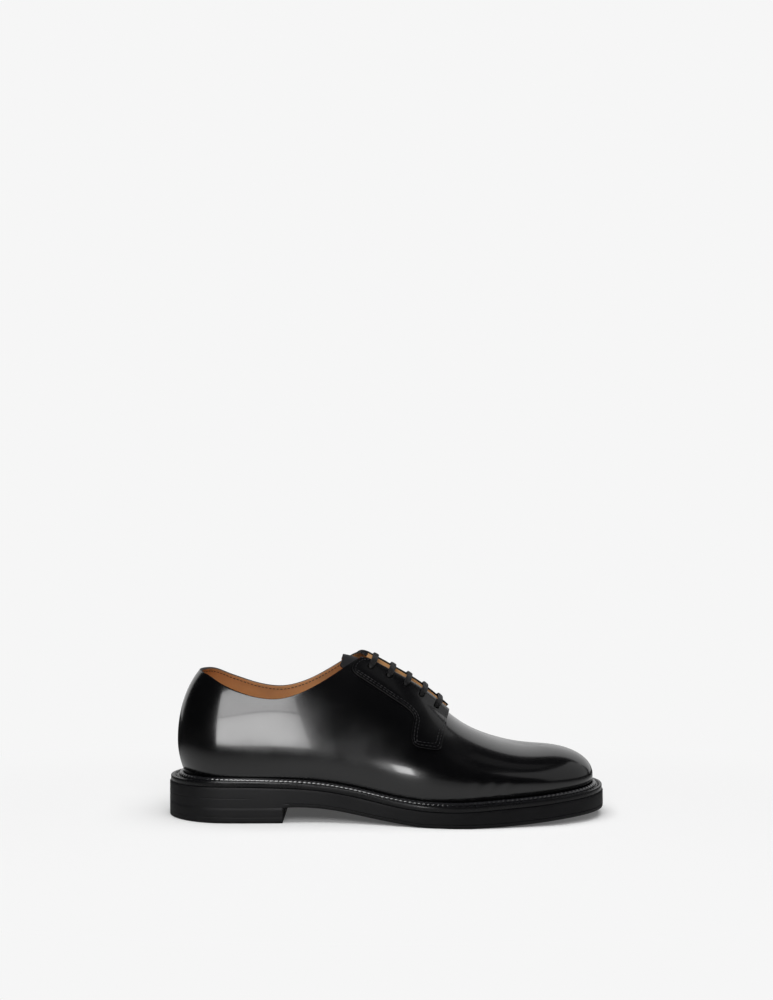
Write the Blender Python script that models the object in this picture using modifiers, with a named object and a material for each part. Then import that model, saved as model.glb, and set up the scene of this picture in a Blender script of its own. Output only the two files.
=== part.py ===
"""A derby shoe for the right foot, as an assembly of nine pieces: outsole, heel, welt, insole, upper,
tongue, two lacing facings and the lace. Sizes are in millimetres until a mesh is made. +Z is up, +X runs
to the toe, -Y is the outer (lateral) side and +Y the inner (medial) side."""

from collections import namedtuple
from functools import lru_cache
from math import cos, pi, radians, sin

import bmesh
import bpy
import numpy as np
from mathutils import Vector
from mathutils.geometry import delaunay_2d_cdt

MM = 0.001
GAP = 0.3  # between two pieces that meet
LATERAL = -1
MEDIAL = 1

# Driving sizes, in millimetres
UPPER_WALL = 2.0
WELT_RISE = 5.6  # from the sole's top to the feather line, where the upper leaves the welt
WELT_THICK = 4.0
BEAD_WIDTH = 3.0
WELT_EDGE = 0.7
SOLE_EDGE = 1.2
HEEL_BREAST_X = -70.0
INSOLE_THICK = 3.5
LACING_Y = 1.0  # centre line of the lacing, seen from above
THROAT_HALF = 7.0  # half the gap between the facings, measured over the instep
THROAT_FRONT_X = 40.0
THROAT_ROUND = 8.0
FACING_THICK = 1.4
FACING_LIFT = 2.6  # how far the facings' front corners stand up from the vamp
EYELET_INSET = 8.0
EYELET_RADIUS = 2.1
LACE_WIDTH = 4.2
LACE_THICK = 1.6
LACE_CORE = 2.4  # diameter of the lace where it is drawn through an eyelet
BAR_SLOPE = 0.6  # a lace bar leans with the instep: forward travel for each unit of rise
TONGUE_THICK = 2.0
TONGUE_HALF = 21.0
TONGUE_TOP_X = -30.0
TONGUE_BEND_X = -10.0
TONGUE_SAG = 6.0  # how far the free top end bends down
TONGUE_FRONT_X = 56.0

# Sections of the last from the back of the heel to the toe. A section is an upright half plane that starts at
# its axis and turns from straight back (0) over straight sideways (90) to straight forward (180). Reaches
# are measured from the axis, ridge and bulge are heights, and lean shifts the ridge to the inner side.
Section = namedtuple(
    "Section",
    "place axis_x axis_y turn ridge bulge lat_bulge lat_feather med_bulge med_feather lat_sole med_sole "
    "fullness lean",
)
SECTIONS = (
    Section("heel_back", -108, 0, 0, 112, 52, 37.6, 32.8, 37.6, 32.8, 43, 43, 2.0, 0),
    Section("heel_corner", -107.5, 0, 45, 116, 52, 35.6, 31.2, 35.6, 31.2, 38.8, 38.8, 2.0, 0),
    Section("heel_side", -102, 0, 84, 125, 50, 34, 30.8, 33.6, 30.3, 36, 35.8, 2.0, 0),
    Section("seat", -78, 0, 90, 138, 48, 33.6, 30.6, 33, 29.6, 35.6, 34.8, 2.0, 0.5),
    Section("waist_rear", -48, 0, 90, 132, 45, 34, 29.8, 31.4, 26, 34.6, 31, 1.95, 2),
    Section("waist", -20, 0, 90, 114.5, 42, 36.5, 32.4, 32.6, 25.8, 37.6, 30.8, 1.9, 4.5),
    Section("instep", 8, 0, 90, 98.2, 37, 41.5, 38.6, 38.2, 32.4, 44.8, 37.6, 1.9, 5),
    Section("joint_rear", 30, 0, 90, 81, 33, 45.5, 43.4, 44.4, 41, 50.4, 47.4, 1.95, 5),
    Section("ball", 52, 0.5, 90, 62.3, 30, 47.5, 45.5, 48, 46, 53.2, 52.6, 2.05, 4.5),
    Section("ball_front", 75, 1, 91, 51.6, 29, 46.2, 43.8, 47.6, 45.4, 51, 52, 2.15, 4),
    Section("toe_root", 93, 1.5, 99, 47.2, 28, 42.4, 40.2, 44.2, 42, 47.4, 48.6, 2.2, 3.4),
    Section("toe_side", 103, 2, 123, 46.5, 27.4, 39, 37.4, 40.4, 38.8, 44.8, 45.8, 2.2, 2.8),
    Section("toe_corner", 106, 2, 152, 46.3, 27, 38, 36.6, 38.4, 37, 44.6, 44.8, 2.2, 2.5),
    Section("toe_front", 106, 2, 180, 46.3, 27, 37.9, 36.5, 37.9, 36.5, 45, 45, 2.2, 2.5),
)
STEPS_BETWEEN = (4, 4, 3, 3, 3, 4, 4, 4, 3, 3, 4, 4, 4)

# Heights along the sole: its underside, which is flat on the floor where the curve runs below it, and the
# seat on which welt and upper stand
Level = namedtuple("Level", "x tread seat")
LEVELS = (
    Level(-152, 10.5, 23.5),
    Level(-110, 10.5, 24.2),
    Level(-71, 10.5, 23.4),
    Level(-58, 10.5, 22.7),
    Level(-44, 9.6, 21.4),
    Level(-31, 7.9, 19.6),
    Level(-14, 5.0, 16.6),
    Level(3, 2.4, 13.3),
    Level(16, 0.8, 11.5),
    Level(24, 0.0, 10.8),
    Level(40, -0.7, 10.4),
    Level(57, 0.0, 10.7),
    Level(70, 0.4, 11.5),
    Level(98, 2.0, 13.2),
    Level(126, 4.3, 15.4),
    Level(152, 5.6, 17.2),
)

# Height of the collar's edge along each side of the shoe
Collar = namedtuple("Collar", "x lateral medial")
COLLAR = (
    Collar(-140, 103.0, 103.0),
    Collar(-130.5, 100.4, 100.4),
    Collar(-123.5, 98.9, 99.4),
    Collar(-114.6, 94.4, 95.4),
    Collar(-103.9, 89.5, 91.0),
    Collar(-93.7, 86.0, 87.5),
    Collar(-83.8, 83.9, 85.4),
    Collar(-73.9, 83.5, 85.0),
    Collar(-63.9, 85.5, 87.0),
    Collar(-54, 89.3, 90.8),
    Collar(-44, 94.5, 96.2),
    Collar(-34.2, 100.3, 102.4),
    Collar(-26.3, 105.2, 107.6),
    Collar(-18, 109.3, 111.8),
    Collar(-10, 111.0, 113.6),
)

# The facing's edge below the lacing, as seen from the side, from its top corner round to its front
EdgePoint = namedtuple("EdgePoint", "x z")
FACING_EDGE = (
    EdgePoint(-13, 109.0),
    EdgePoint(-18.5, 108.2),
    EdgePoint(-23, 105.2),
    EdgePoint(-24, 100.5),
    EdgePoint(-5, 88.5),
    EdgePoint(15.2, 75.6),
    EdgePoint(19.2, 71),
    EdgePoint(17.4, 65),
    EdgePoint(16.8, 56),
    EdgePoint(20, 52.6),
    EdgePoint(28, 51.2),
    EdgePoint(36.4, 50.2),
    EdgePoint(37, 54.8),
    EdgePoint(40, 62.6),
    EdgePoint(41, 68.8),
)
EYELETS_X = (-11.5, 1.0, 12.3, 23.0, 33.0)
MESH_STEP = 4.0  # spacing of the points inside a facing


class Curve:
    """A cubic spline through the given knots, level at both ends or free there."""

    def __init__(self, knots, values, level_ends):
        self.knots = np.array(knots, dtype=float)
        self.values = np.array(values, dtype=float)
        count = len(self.knots)
        width = np.diff(self.knots)
        rise = np.diff(self.values) / width
        matrix = np.eye(count)
        target = np.zeros(count)
        for i in range(1, count - 1):
            matrix[i, i - 1 : i + 2] = (1 / width[i - 1], 2 / width[i - 1] + 2 / width[i], 1 / width[i])
            target[i] = 3 * (rise[i - 1] / width[i - 1] + rise[i] / width[i])
        if not level_ends:
            matrix[0, :2] = (2, 1)
            matrix[-1, -2:] = (1, 2)
            target[0] = 3 * rise[0]
            target[-1] = 3 * rise[-1]
        self.slopes = np.linalg.solve(matrix, target)

    def __call__(self, place):
        i = np.clip(np.searchsorted(self.knots, place) - 1, 0, len(self.knots) - 2)
        width = self.knots[i + 1] - self.knots[i]
        u = (place - self.knots[i]) / width
        start = (1 + 2 * u) * (1 - u) ** 2 * self.values[i] + u * (1 - u) ** 2 * width * self.slopes[i]
        end = u * u * (3 - 2 * u) * self.values[i + 1] + u * u * (u - 1) * width * self.slopes[i + 1]
        return start + end


def column(table, key, field, level_ends=False):
    """The curve of one column of a table over another."""
    return Curve([getattr(row, key) for row in table], [getattr(row, field) for row in table], level_ends)


SEAT = column(LEVELS, "x", "seat")
TREAD = column(LEVELS, "x", "tread")
COLLAR_HEIGHT = {LATERAL: column(COLLAR, "x", "lateral"), MEDIAL: column(COLLAR, "x", "medial")}
LAST = {
    field: Curve(range(len(SECTIONS)), [getattr(row, field) for row in SECTIONS], field != "turn")
    for field in Section._fields[1:]
}
LAST_STATION = len(SECTIONS) - 1
TOE_POLE = LAST_STATION - 1  # from this section on, all meet in one point of the ridge


def stations():
    """Station numbers along the last, closer together round the heel and the toe."""
    marks = [i + k / steps for i, steps in enumerate(STEPS_BETWEEN) for k in range(steps)]
    return marks + [float(LAST_STATION)]


def heading(side, s):
    """The direction, seen from above, of a section on one side."""
    turn = radians(float(LAST["turn"](s)))
    return np.array((-cos(turn), side * sin(turn)))


def reach(side, s, kind):
    """How far the bulge, feather or sole of one side lies from the section's axis."""
    return float(LAST[("lat_" if side == LATERAL else "med_") + kind](s))


def plan_point(side, s, distance):
    """The place, seen from above, at a distance from the section's axis."""
    axis = np.array((float(LAST["axis_x"](s)), float(LAST["axis_y"](s))))
    return axis + distance * heading(side, s)


def profile(side, s, steps):
    """Points of a section: 0 is the foot on the sole, 1 the feather line, 2 the bulge and 3 the ridge."""
    steps = np.asarray(steps, dtype=float)
    feather_reach = reach(side, s, "feather")
    bulge_reach = reach(side, s, "bulge")
    seat = float(SEAT(plan_point(side, s, feather_reach)[0]))
    feather = seat + WELT_RISE
    bulge = float(LAST["bulge"](s))
    rise = float(LAST["ridge"](s)) - bulge
    power = 2 / float(LAST["fullness"](s))
    angle = np.clip(steps - 2, 0, 1) * pi / 2
    up = np.sin(angle) ** power
    low = np.clip(steps - 1, 0, 1)
    foot = np.clip(steps, 0, 1)
    height = seat + GAP + foot * (WELT_RISE - GAP) + low * (bulge - feather) + up * rise
    out = bulge_reach - (bulge_reach - feather_reach) * (1 - low) ** 2
    out = np.where(steps > 2, bulge_reach * np.cos(angle) ** power, out)
    axis_x, axis_y = plan_point(side, s, 0.0)
    away = heading(side, s)
    lean = float(LAST["lean"](s)) * up**2
    return np.column_stack((axis_x + away[0] * out, axis_y + away[1] * out + lean, height))


@lru_cache(maxsize=None)
def girth(s):
    """A section as one line over the instep: distance from the lacing line, profile step, and point."""
    steps = np.linspace(2, 3, 121)
    near = profile(LATERAL, s, steps)
    far = profile(MEDIAL, s, steps)[::-1][1:]
    line = np.vstack((near, far))
    run = np.concatenate(([0.0], np.cumsum(np.linalg.norm(np.diff(line, axis=0), axis=1))))
    run = run - np.interp(LACING_Y, line[:, 1], run)
    return run, np.concatenate((steps, steps[::-1][1:])), line


AXIS_PLACES = np.linspace(3, 9.5, 400)
AXIS_XS = LAST["axis_x"](AXIS_PLACES)


def station_of(x):
    """The station whose section stands at x, in the middle of the shoe."""
    return float(np.interp(x, AXIS_XS, AXIS_PLACES))


def on_girth(s, across):
    run, _, line = girth(round(s, 6))
    return np.array([np.interp(across, run, line[:, k]) for k in range(3)])


def on_upper(x, across, out):
    """A point that stands a distance out from the last, at x and at a distance over the instep."""
    s = station_of(x)
    point = on_girth(s, across)
    forward = on_girth(s + 0.05, across) - on_girth(s - 0.05, across)
    inward = on_girth(s, across + 0.8) - on_girth(s, across - 0.8)
    normal = np.cross(forward, inward)
    return point + out * normal / np.linalg.norm(normal)


def across_at_height(x, height):
    """The distance over the instep, on the outer side, at which the last has this height."""
    run, _, line = girth(round(station_of(x), 6))
    top = int(np.argmax(line[:, 2]))
    return float(np.interp(height, line[:top, 2], run[:top]))


def throat_half(x):
    """Half the width of the throat, closing in a round at its front."""
    past = (x - (THROAT_FRONT_X - THROAT_ROUND)) / THROAT_ROUND
    if past >= 1:
        return 0.0
    return THROAT_HALF * (1 - max(past, 0.0) ** 2) ** 0.5


def top_step(side, s):
    """The profile step at which the upper ends: at the collar, at the throat or, in front, at the ridge."""
    steps = np.linspace(2, 3, 400)
    points = profile(side, s, steps)
    top = 3.0
    open_above = np.nonzero(points[:, 2] > COLLAR_HEIGHT[side](np.minimum(points[:, 0], -10)))[0]
    if points[0, 0] < -2 and len(open_above):
        top = float(steps[open_above[0]])
    x = float(LAST["axis_x"](s))
    if TONGUE_TOP_X < x < THROAT_FRONT_X:
        run, kinds, _ = girth(round(s, 6))
        half = throat_half(x)
        top = min(top, float(np.interp(side * half, run, kinds)))
    return top


def new_object(name, mesh_data, collection):
    mesh = bpy.data.meshes.new(name)
    mesh_data.to_mesh(mesh)
    mesh_data.free()
    item = bpy.data.objects.new(name, mesh)
    collection.objects.link(item)
    return item


def to_metres(point):
    return Vector([float(value) * MM for value in point])


def loft(rings, closed):
    """A skin over rings with equal numbers of points, joined end to end or capped."""
    shape = bmesh.new()
    rows = [[shape.verts.new(to_metres(point)) for point in ring] for ring in rings]
    size = len(rows[0])
    pairs = list(zip(rows, rows[1:]))
    if closed:
        pairs.append((rows[-1], rows[0]))
    for first, second in pairs:
        for k in range(size):
            after = (k + 1) % size
            shape.faces.new((first[k], first[after], second[after], second[k]))
    if not closed:
        shape.faces.new(rows[0])
        shape.faces.new(rows[-1])
    bmesh.ops.recalc_face_normals(shape, faces=shape.faces)
    return shape


def outline(kind, inset):
    """The sides of the shoe seen from above, as two lines of y over x."""
    lines = {}
    for side in (LATERAL, MEDIAL):
        spots = [plan_point(side, s, reach(side, s, kind) - inset) for s in np.linspace(0, LAST_STATION, 400)]
        lines[side] = np.array(spots)
    return lines


def slab(lines, low, high, start_x, end_x, count, low_edge, high_edge):
    """A sole layer: cross sections between two outlines, with its edges cut off by small bevels."""
    middle = (start_x + end_x) / 2
    rings = []
    for k in range(count + 1):
        x = middle - (end_x - start_x) / 2 * cos(pi * k / count)
        left = float(np.interp(x, lines[LATERAL][:, 0], lines[LATERAL][:, 1]))
        right = float(np.interp(x, lines[MEDIAL][:, 0], lines[MEDIAL][:, 1]))
        below = min(low_edge, (right - left) / 4)
        above = min(high_edge, (right - left) / 4)
        bottom = low(x)
        top = high(x)
        rings.append((
            (x, left + below, bottom),
            (x, left, bottom + below),
            (x, left, top - above),
            (x, left + above, top),
            (x, right - above, top),
            (x, right, top - above),
            (x, right, bottom + below),
            (x, right - below, bottom),
        ))
    return loft(rings, closed=False)


def ends(lines):
    """The x of an outline's rear and front, a little inside its very tips."""
    return float(lines[LATERAL][0, 0]) + 0.06, float(lines[LATERAL][-1, 0]) - 0.06


def build_outsole(collection):
    lines = outline("sole", 0.0)
    rear, front = ends(lines)
    shape = slab(
        lines, lambda x: max(float(TREAD(x)), 0.0), lambda x: float(SEAT(x)), rear, front, 52, SOLE_EDGE, 0.4
    )
    return new_object("outsole", shape, collection)


def build_heel(collection):
    lines = outline("sole", 0.0)
    rear, _ = ends(lines)
    shape = slab(
        lines, lambda x: 0.0, lambda x: float(LEVELS[0].tread) - GAP, rear, HEEL_BREAST_X, 22, SOLE_EDGE, 0.4
    )
    return new_object("heel", shape, collection)


def build_insole(collection):
    lines = outline("feather", UPPER_WALL + GAP + 0.2)
    rear, front = ends(lines)
    shape = slab(
        lines,
        lambda x: float(SEAT(x)) + GAP,
        lambda x: float(SEAT(x)) + GAP + INSOLE_THICK,
        rear,
        front,
        30,
        0.4,
        0.6,
    )
    return new_object("insole", shape, collection)


def round_trip():
    """Every station twice: forward along the lateral side and back along the medial side."""
    marks = stations()
    return [(LATERAL, s) for s in marks] + [(MEDIAL, s) for s in reversed(marks[1:-1])]


def welt_section(side, s):
    """The welt's cross section: a raised bead beside the upper and a flat shelf out to the sole's edge."""
    inner = reach(side, s, "feather") + GAP
    outer = reach(side, s, "sole") - WELT_EDGE
    bead = min(BEAD_WIDTH, 0.6 * (outer - inner))
    shape = (
        (inner, GAP),
        (inner, WELT_RISE - 1.1),
        (inner + bead * 0.3, WELT_RISE - 0.2),
        (inner + bead * 0.7, WELT_RISE - 0.2),
        (inner + bead, WELT_THICK - 0.2),
        (outer - 0.6, WELT_THICK),
        (outer, WELT_THICK - 0.7),
        (outer, GAP),
    )
    ring = []
    for distance, rise in shape:
        x, y = plan_point(side, s, distance)
        ring.append((x, y, float(SEAT(x)) + rise))
    return ring


def build_welt(collection):
    shape = loft([welt_section(side, s) for side, s in round_trip()], closed=True)
    return new_object("welt", shape, collection)


def upper_skin():
    """The outside of the upper: a grid over both sides that share their points at heel, toe and ridge."""
    shape = bmesh.new()
    marks = stations()
    ridge = {}
    ends_of_shoe = {}
    for side in (LATERAL, MEDIAL):
        columns = []
        for s in marks:
            if s in ends_of_shoe:
                columns.append(ends_of_shoe[s])
                continue
            top = top_step(side, s)
            steps = [0, 1, 1.45, 1.8] + [2 + (top - 2) * k / 8 for k in range(9)]
            line = [shape.verts.new(to_metres(point)) for point in profile(side, s, steps[:-1])]
            place = min(s, TOE_POLE) if top == 3 else (side, s)
            if place not in ridge:
                ridge[place] = shape.verts.new(to_metres(profile(side, min(s, TOE_POLE), [top])[0]))
            line.append(ridge[place])
            if s in (0, LAST_STATION):
                ends_of_shoe[s] = line
            columns.append(line)
        for first, second in zip(columns, columns[1:]):
            for low in range(len(first) - 1):
                corners = (first[low], second[low], second[low + 1], first[low + 1])
                corners = list(dict.fromkeys(corners))
                shape.faces.new(corners if side == LATERAL else corners[::-1])
    return shape


def eyelet_spots():
    """Where the eyelets lie: pairs of (x, distance over the instep), a row for each lace bar."""
    rows = []
    for x in EYELETS_X:
        near = -(THROAT_HALF + EYELET_INSET)
        start = on_upper(x, near, 0.0)
        rows.append({LATERAL: (x, near), MEDIAL: (bar_x(x, start[2], -near), -near)})
    return rows


def bar_x(x, height, across):
    """The x of a lace bar at a distance over the instep, where it starts at x and height."""
    spot = x
    for _ in range(12):
        spot = x + BAR_SLOPE * (on_upper(spot, across, 0.0)[2] - height)
    return spot


def build_eyelet_cutter(collection):
    """Ten pins through the upper, one at each eyelet."""
    shape = bmesh.new()
    for row in eyelet_spots():
        for x, across in row.values():
            inside = on_upper(x, across, -UPPER_WALL - 3.0)
            outside = on_upper(x, across, 3.0)
            turn = Vector((0, 0, 1)).rotation_difference(Vector(outside - inside)).to_matrix().to_4x4()
            turn.translation = to_metres((inside + outside) / 2)
            bmesh.ops.create_cone(
                shape,
                cap_ends=True,
                segments=10,
                radius1=EYELET_RADIUS * MM,
                radius2=EYELET_RADIUS * MM,
                depth=float(np.linalg.norm(outside - inside)) * MM,
                matrix=turn,
            )
    pins = new_object("eyelet_pins", shape, collection)
    pins.hide_render = True
    pins.display_type = "WIRE"
    return pins


def build_upper(collection, cutters):
    item = new_object("upper", upper_skin(), collection)
    wall = item.modifiers.new("wall", "SOLIDIFY")
    wall.thickness = UPPER_WALL * MM
    wall.offset = -1.0
    holes = item.modifiers.new("eyelets", "BOOLEAN")
    holes.object = build_eyelet_cutter(cutters)
    holes.operation = "DIFFERENCE"
    return item


def lift(x, across):
    """How far a facing stands up from the upper: most at its front corner beside the throat."""
    forward = min(max((x - 2) / 36, 0.0), 1.0)
    near = min(max(1 - (abs(across) - THROAT_HALF) / 13, 0.0), 1.0)
    return FACING_LIFT * forward**2 * (3 - 2 * forward) * near**2 * (3 - 2 * near)


def facing_outline(side):
    """The facing's edge as (x, distance over the instep), its corners cut once to round them."""
    spots = [(x, -THROAT_HALF) for x in np.linspace(38.5, -8, 9)]
    for x, z in FACING_EDGE:
        spots.append((x, min(across_at_height(x, z), -THROAT_HALF)))
    cut = []
    for (ax, ac), (bx, bc) in zip(spots, spots[1:] + spots[:1]):
        cut.append((0.75 * ax + 0.25 * bx, 0.75 * ac + 0.25 * bc))
        cut.append((0.25 * ax + 0.75 * bx, 0.25 * ac + 0.75 * bc))
    return [(x, -side * across) for x, across in cut]


def inside(spot, polygon):
    """Whether a spot lies inside a polygon, by counting the edges to its right."""
    hit = False
    for (ax, ay), (bx, by) in zip(polygon, polygon[1:] + polygon[:1]):
        if (ay > spot[1]) != (by > spot[1]) and spot[0] < ax + (bx - ax) * (spot[1] - ay) / (by - ay):
            hit = not hit
    return hit


def circle(x, across, radius, count):
    return [(x + radius * cos(2 * pi * k / count), across + radius * sin(2 * pi * k / count)) for k in range(count)]


def facing_skin(side):
    """The facing as a flat pattern with its eyelets, triangulated and laid onto the upper."""
    edge = facing_outline(side)
    holes = [circle(*row[side], EYELET_RADIUS, 10) for row in eyelet_spots()]
    spots = list(edge)
    links = [(k, (k + 1) % len(edge)) for k in range(len(edge))]
    for hole in holes:
        base = len(spots)
        spots += hole
        links += [(base + k, base + (k + 1) % len(hole)) for k in range(len(hole))]
    fixed = np.array(spots)
    low = fixed.min(axis=0)
    high = fixed.max(axis=0)
    for x in np.arange(low[0] + 2, high[0], MESH_STEP):
        for across in np.arange(low[1] + 2, high[1], MESH_STEP):
            clear = np.linalg.norm(fixed - (x, across), axis=1).min() > MESH_STEP * 0.6
            if clear and inside((x, across), edge) and not any(inside((x, across), hole) for hole in holes):
                spots.append((x, across))
    flat = delaunay_2d_cdt([Vector(spot) for spot in spots], links, [], 0, 1e-5)
    shape = bmesh.new()
    points = [tuple(spot) for spot in flat[0]]
    verts = [shape.verts.new(to_metres(on_upper(x, c, GAP + lift(x, c)))) for x, c in points]
    for face in flat[2]:
        centre = np.mean([points[k] for k in face], axis=0)
        if inside(centre, edge) and not any(inside(centre, hole) for hole in holes):
            shape.faces.new([verts[k] for k in face])
    bmesh.ops.delete(shape, geom=[v for v in shape.verts if not v.link_faces], context="VERTS")
    shape.normal_update()
    return shape


def build_facing(name, side, collection):
    item = new_object(name, facing_skin(side), collection)
    wall = item.modifiers.new("thickness", "SOLIDIFY")
    wall.thickness = FACING_THICK * MM
    wall.offset = 1.0
    return item


def tongue_depth(x):
    """How far below the last the tongue's outer face lies: close under the vamp, deeper below the lace."""
    under_lace = UPPER_WALL + 2 * GAP + LACE_CORE + 0.4
    under_vamp = UPPER_WALL + GAP + 0.1
    blend = min(max((x - (THROAT_FRONT_X - 1)) / 12, 0.0), 1.0)
    return under_lace + (under_vamp - under_lace) * blend**2 * (3 - 2 * blend)


def on_tongue(x, across, below):
    """A point of the tongue, whose free top end bends down from the line of the instep."""
    back = min(max((TONGUE_BEND_X - x) / (TONGUE_BEND_X - TONGUE_TOP_X), 0.0), 1.0)
    point = on_upper(x, across, -tongue_depth(x) - below)
    point[2] -= TONGUE_SAG * back**2
    return point


def tongue_half(row, rows):
    """Half the tongue's width: a round top end, then a slow taper to the front."""
    half = TONGUE_HALF * (1 - 0.28 * (row / rows) ** 2)
    end = min((row + 0.6) / 2.6, (rows - row + 1.2) / 2.2, 1.0)
    return half * sin(end * pi / 2) ** 0.5


def build_tongue(collection):
    """A curved strip under the throat, wrapped round the instep."""
    rings = []
    rows = 15
    columns = 8
    for row in range(rows + 1):
        x = TONGUE_TOP_X + (TONGUE_FRONT_X - TONGUE_TOP_X) * row / rows
        half = tongue_half(row, rows)
        spots = [half * (2 * k / columns - 1) for k in range(columns + 1)]
        upper_face = [on_tongue(x, c, 0.0) for c in spots]
        lower_face = [on_tongue(x, c, TONGUE_THICK) for c in reversed(spots)]
        rings.append(upper_face + lower_face)
    return new_object("tongue", loft(rings, closed=False), collection)


LacePoint = namedtuple("LacePoint", "x across out flat")


def lace_route():
    """The lace as one line: straight bars over the throat, joined under every other pair of eyelets."""
    over = GAP + FACING_THICK + GAP + LACE_THICK / 2
    under = -(UPPER_WALL + GAP + LACE_CORE / 2 + 0.1)
    route = []
    rows = eyelet_spots()[::-1]
    for i, row in enumerate(rows):
        side = LATERAL if i % 2 == 0 else MEDIAL
        start_x, start = row[side]
        end_x, end = row[-side]
        near_x, near = row[LATERAL]
        height = on_upper(near_x, near, 0.0)[2]
        if i:
            route.append(LacePoint(start_x, start, under, 0))
        route.append(LacePoint(start_x, start, -0.6, 0))
        route.append(LacePoint(start_x, start, over - 1.3, 0))
        shifts = (0.96, 0.84, 0.66, 0.48)
        for k in shifts:
            route.append(LacePoint(bar_x(near_x, height, start * k), start * k, over, 0 if k > 0.9 else 1))
        for k in reversed(shifts):
            route.append(LacePoint(bar_x(near_x, height, end * k), end * k, over, 0 if k > 0.9 else 1))
        route.append(LacePoint(end_x, end, over - 1.3, 0))
        route.append(LacePoint(end_x, end, -0.6, 0))
        if i < len(rows) - 1:
            next_x, following = rows[i + 1][-side]
            route.append(LacePoint(end_x, end, under, 0))
            for k in (0.25, 0.5, 0.75):
                route.append(LacePoint(end_x + (next_x - end_x) * k, end + (following - end) * k, under, 0))
    return route


def build_lace(collection):
    """A skin round the route: a flat band on the bars and a narrow round core through the eyelets."""
    route = lace_route()
    centres = []
    for spot in route:
        raised = lift(spot.x, spot.across) if spot.out > 0 else 0.0
        centres.append(on_upper(spot.x, spot.across, spot.out + raised))
    centres = np.array(centres)
    tangents = np.gradient(centres, axis=0)
    tangents /= np.linalg.norm(tangents, axis=1)[:, None]
    side = np.cross(tangents[0], (0.0, 0.0, 1.0))
    rings = []
    for spot, centre, tangent in zip(route, centres, tangents):
        side = side - tangent * np.dot(side, tangent)
        side /= np.linalg.norm(side)
        up = np.cross(tangent, side)
        normal = on_upper(spot.x, spot.across, 1.0) - on_upper(spot.x, spot.across, 0.0)
        along = np.cross(normal, tangent)
        along /= np.linalg.norm(along) + 1e-9
        stretch = np.eye(3)
        if spot.flat:
            stretch += (LACE_WIDTH / LACE_CORE - 1) * np.outer(along, along)
            stretch += (LACE_THICK / LACE_CORE - 1) * np.outer(normal, normal)
        ring = []
        for k in range(8):
            turn = 2 * pi * (k + 0.5) / 8
            spoke = LACE_CORE / 2 * (cos(turn) * side + sin(turn) * up)
            ring.append(centre + stretch @ spoke)
        rings.append(ring)
    return new_object("lace", loft(rings, closed=False), collection)


Finish = namedtuple("Finish", "name colour roughness metallic")
BLACK_LEATHER = Finish("black_leather", (0.012, 0.012, 0.013), 0.18, 0.0)
BLACK_RUBBER = Finish("black_rubber", (0.024, 0.024, 0.026), 0.55, 0.0)
TAN_LEATHER = Finish("tan_leather", (0.45, 0.22, 0.09), 0.5, 0.0)
BLACK_LACE = Finish("black_lace", (0.015, 0.015, 0.016), 0.7, 0.0)


def paint(item, finish):
    material = bpy.data.materials.new(item.name + "_" + finish.name)
    material.use_nodes = True
    shader = material.node_tree.nodes["Principled BSDF"]
    shader.inputs["Base Color"].default_value = (*finish.colour, 1.0)
    shader.inputs["Roughness"].default_value = finish.roughness
    shader.inputs["Metallic"].default_value = finish.metallic
    item.data.materials.append(material)
    item.data.shade_smooth()
    item.data.set_sharp_from_angle(angle=radians(40))


def new_collection(name):
    collection = bpy.data.collections.new(name)
    bpy.context.scene.collection.children.link(collection)
    return collection


def main():
    for item in list(bpy.data.objects):
        bpy.data.objects.remove(item, do_unlink=True)
    shoe = new_collection("derby_shoe")
    cutters = new_collection("cutters")
    paint(build_outsole(shoe), BLACK_RUBBER)
    paint(build_heel(shoe), BLACK_RUBBER)
    paint(build_welt(shoe), BLACK_RUBBER)
    paint(build_insole(shoe), TAN_LEATHER)
    paint(build_upper(shoe, cutters), BLACK_LEATHER)
    paint(build_tongue(shoe), BLACK_LEATHER)
    paint(build_facing("facing_lateral", LATERAL, shoe), BLACK_LEATHER)
    paint(build_facing("facing_medial", MEDIAL, shoe), BLACK_LEATHER)
    paint(build_lace(shoe), BLACK_LACE)


main()
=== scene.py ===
"""Dresses the derby shoe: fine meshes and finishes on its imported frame, in a pale studio with a camera.

Tables and lengths are in millimetres until a mesh is made. +Z is up, +X runs to the toe, -Y is the outer
(lateral) side of this right shoe and +Y its inner (medial) side.
"""

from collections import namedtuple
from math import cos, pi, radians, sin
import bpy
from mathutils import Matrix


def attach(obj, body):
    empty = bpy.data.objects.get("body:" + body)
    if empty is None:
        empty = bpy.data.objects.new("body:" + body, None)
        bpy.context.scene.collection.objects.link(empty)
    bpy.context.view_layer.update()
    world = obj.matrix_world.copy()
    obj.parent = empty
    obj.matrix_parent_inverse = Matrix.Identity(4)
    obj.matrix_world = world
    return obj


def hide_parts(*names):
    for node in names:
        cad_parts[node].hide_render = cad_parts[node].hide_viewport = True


bl_info = {
    "name": "Derby shoe",
    "version": (1, 0, 0),
    "blender": (4, 5, 0),
    "location": "3D View > Sidebar > Derby shoe",
    "description": "Builds the pieces of a black derby shoe and a pale studio around it",
    "category": "Add Mesh",
}

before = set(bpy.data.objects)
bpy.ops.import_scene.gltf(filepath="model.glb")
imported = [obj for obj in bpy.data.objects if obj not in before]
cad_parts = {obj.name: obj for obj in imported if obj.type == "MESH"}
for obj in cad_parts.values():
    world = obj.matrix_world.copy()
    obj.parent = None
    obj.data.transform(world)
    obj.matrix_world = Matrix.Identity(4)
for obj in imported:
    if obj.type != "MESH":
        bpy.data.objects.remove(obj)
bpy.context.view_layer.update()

import bmesh
import bpy
import numpy as np
from bpy.props import FloatProperty, FloatVectorProperty, IntProperty
from mathutils import Matrix, Vector

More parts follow.
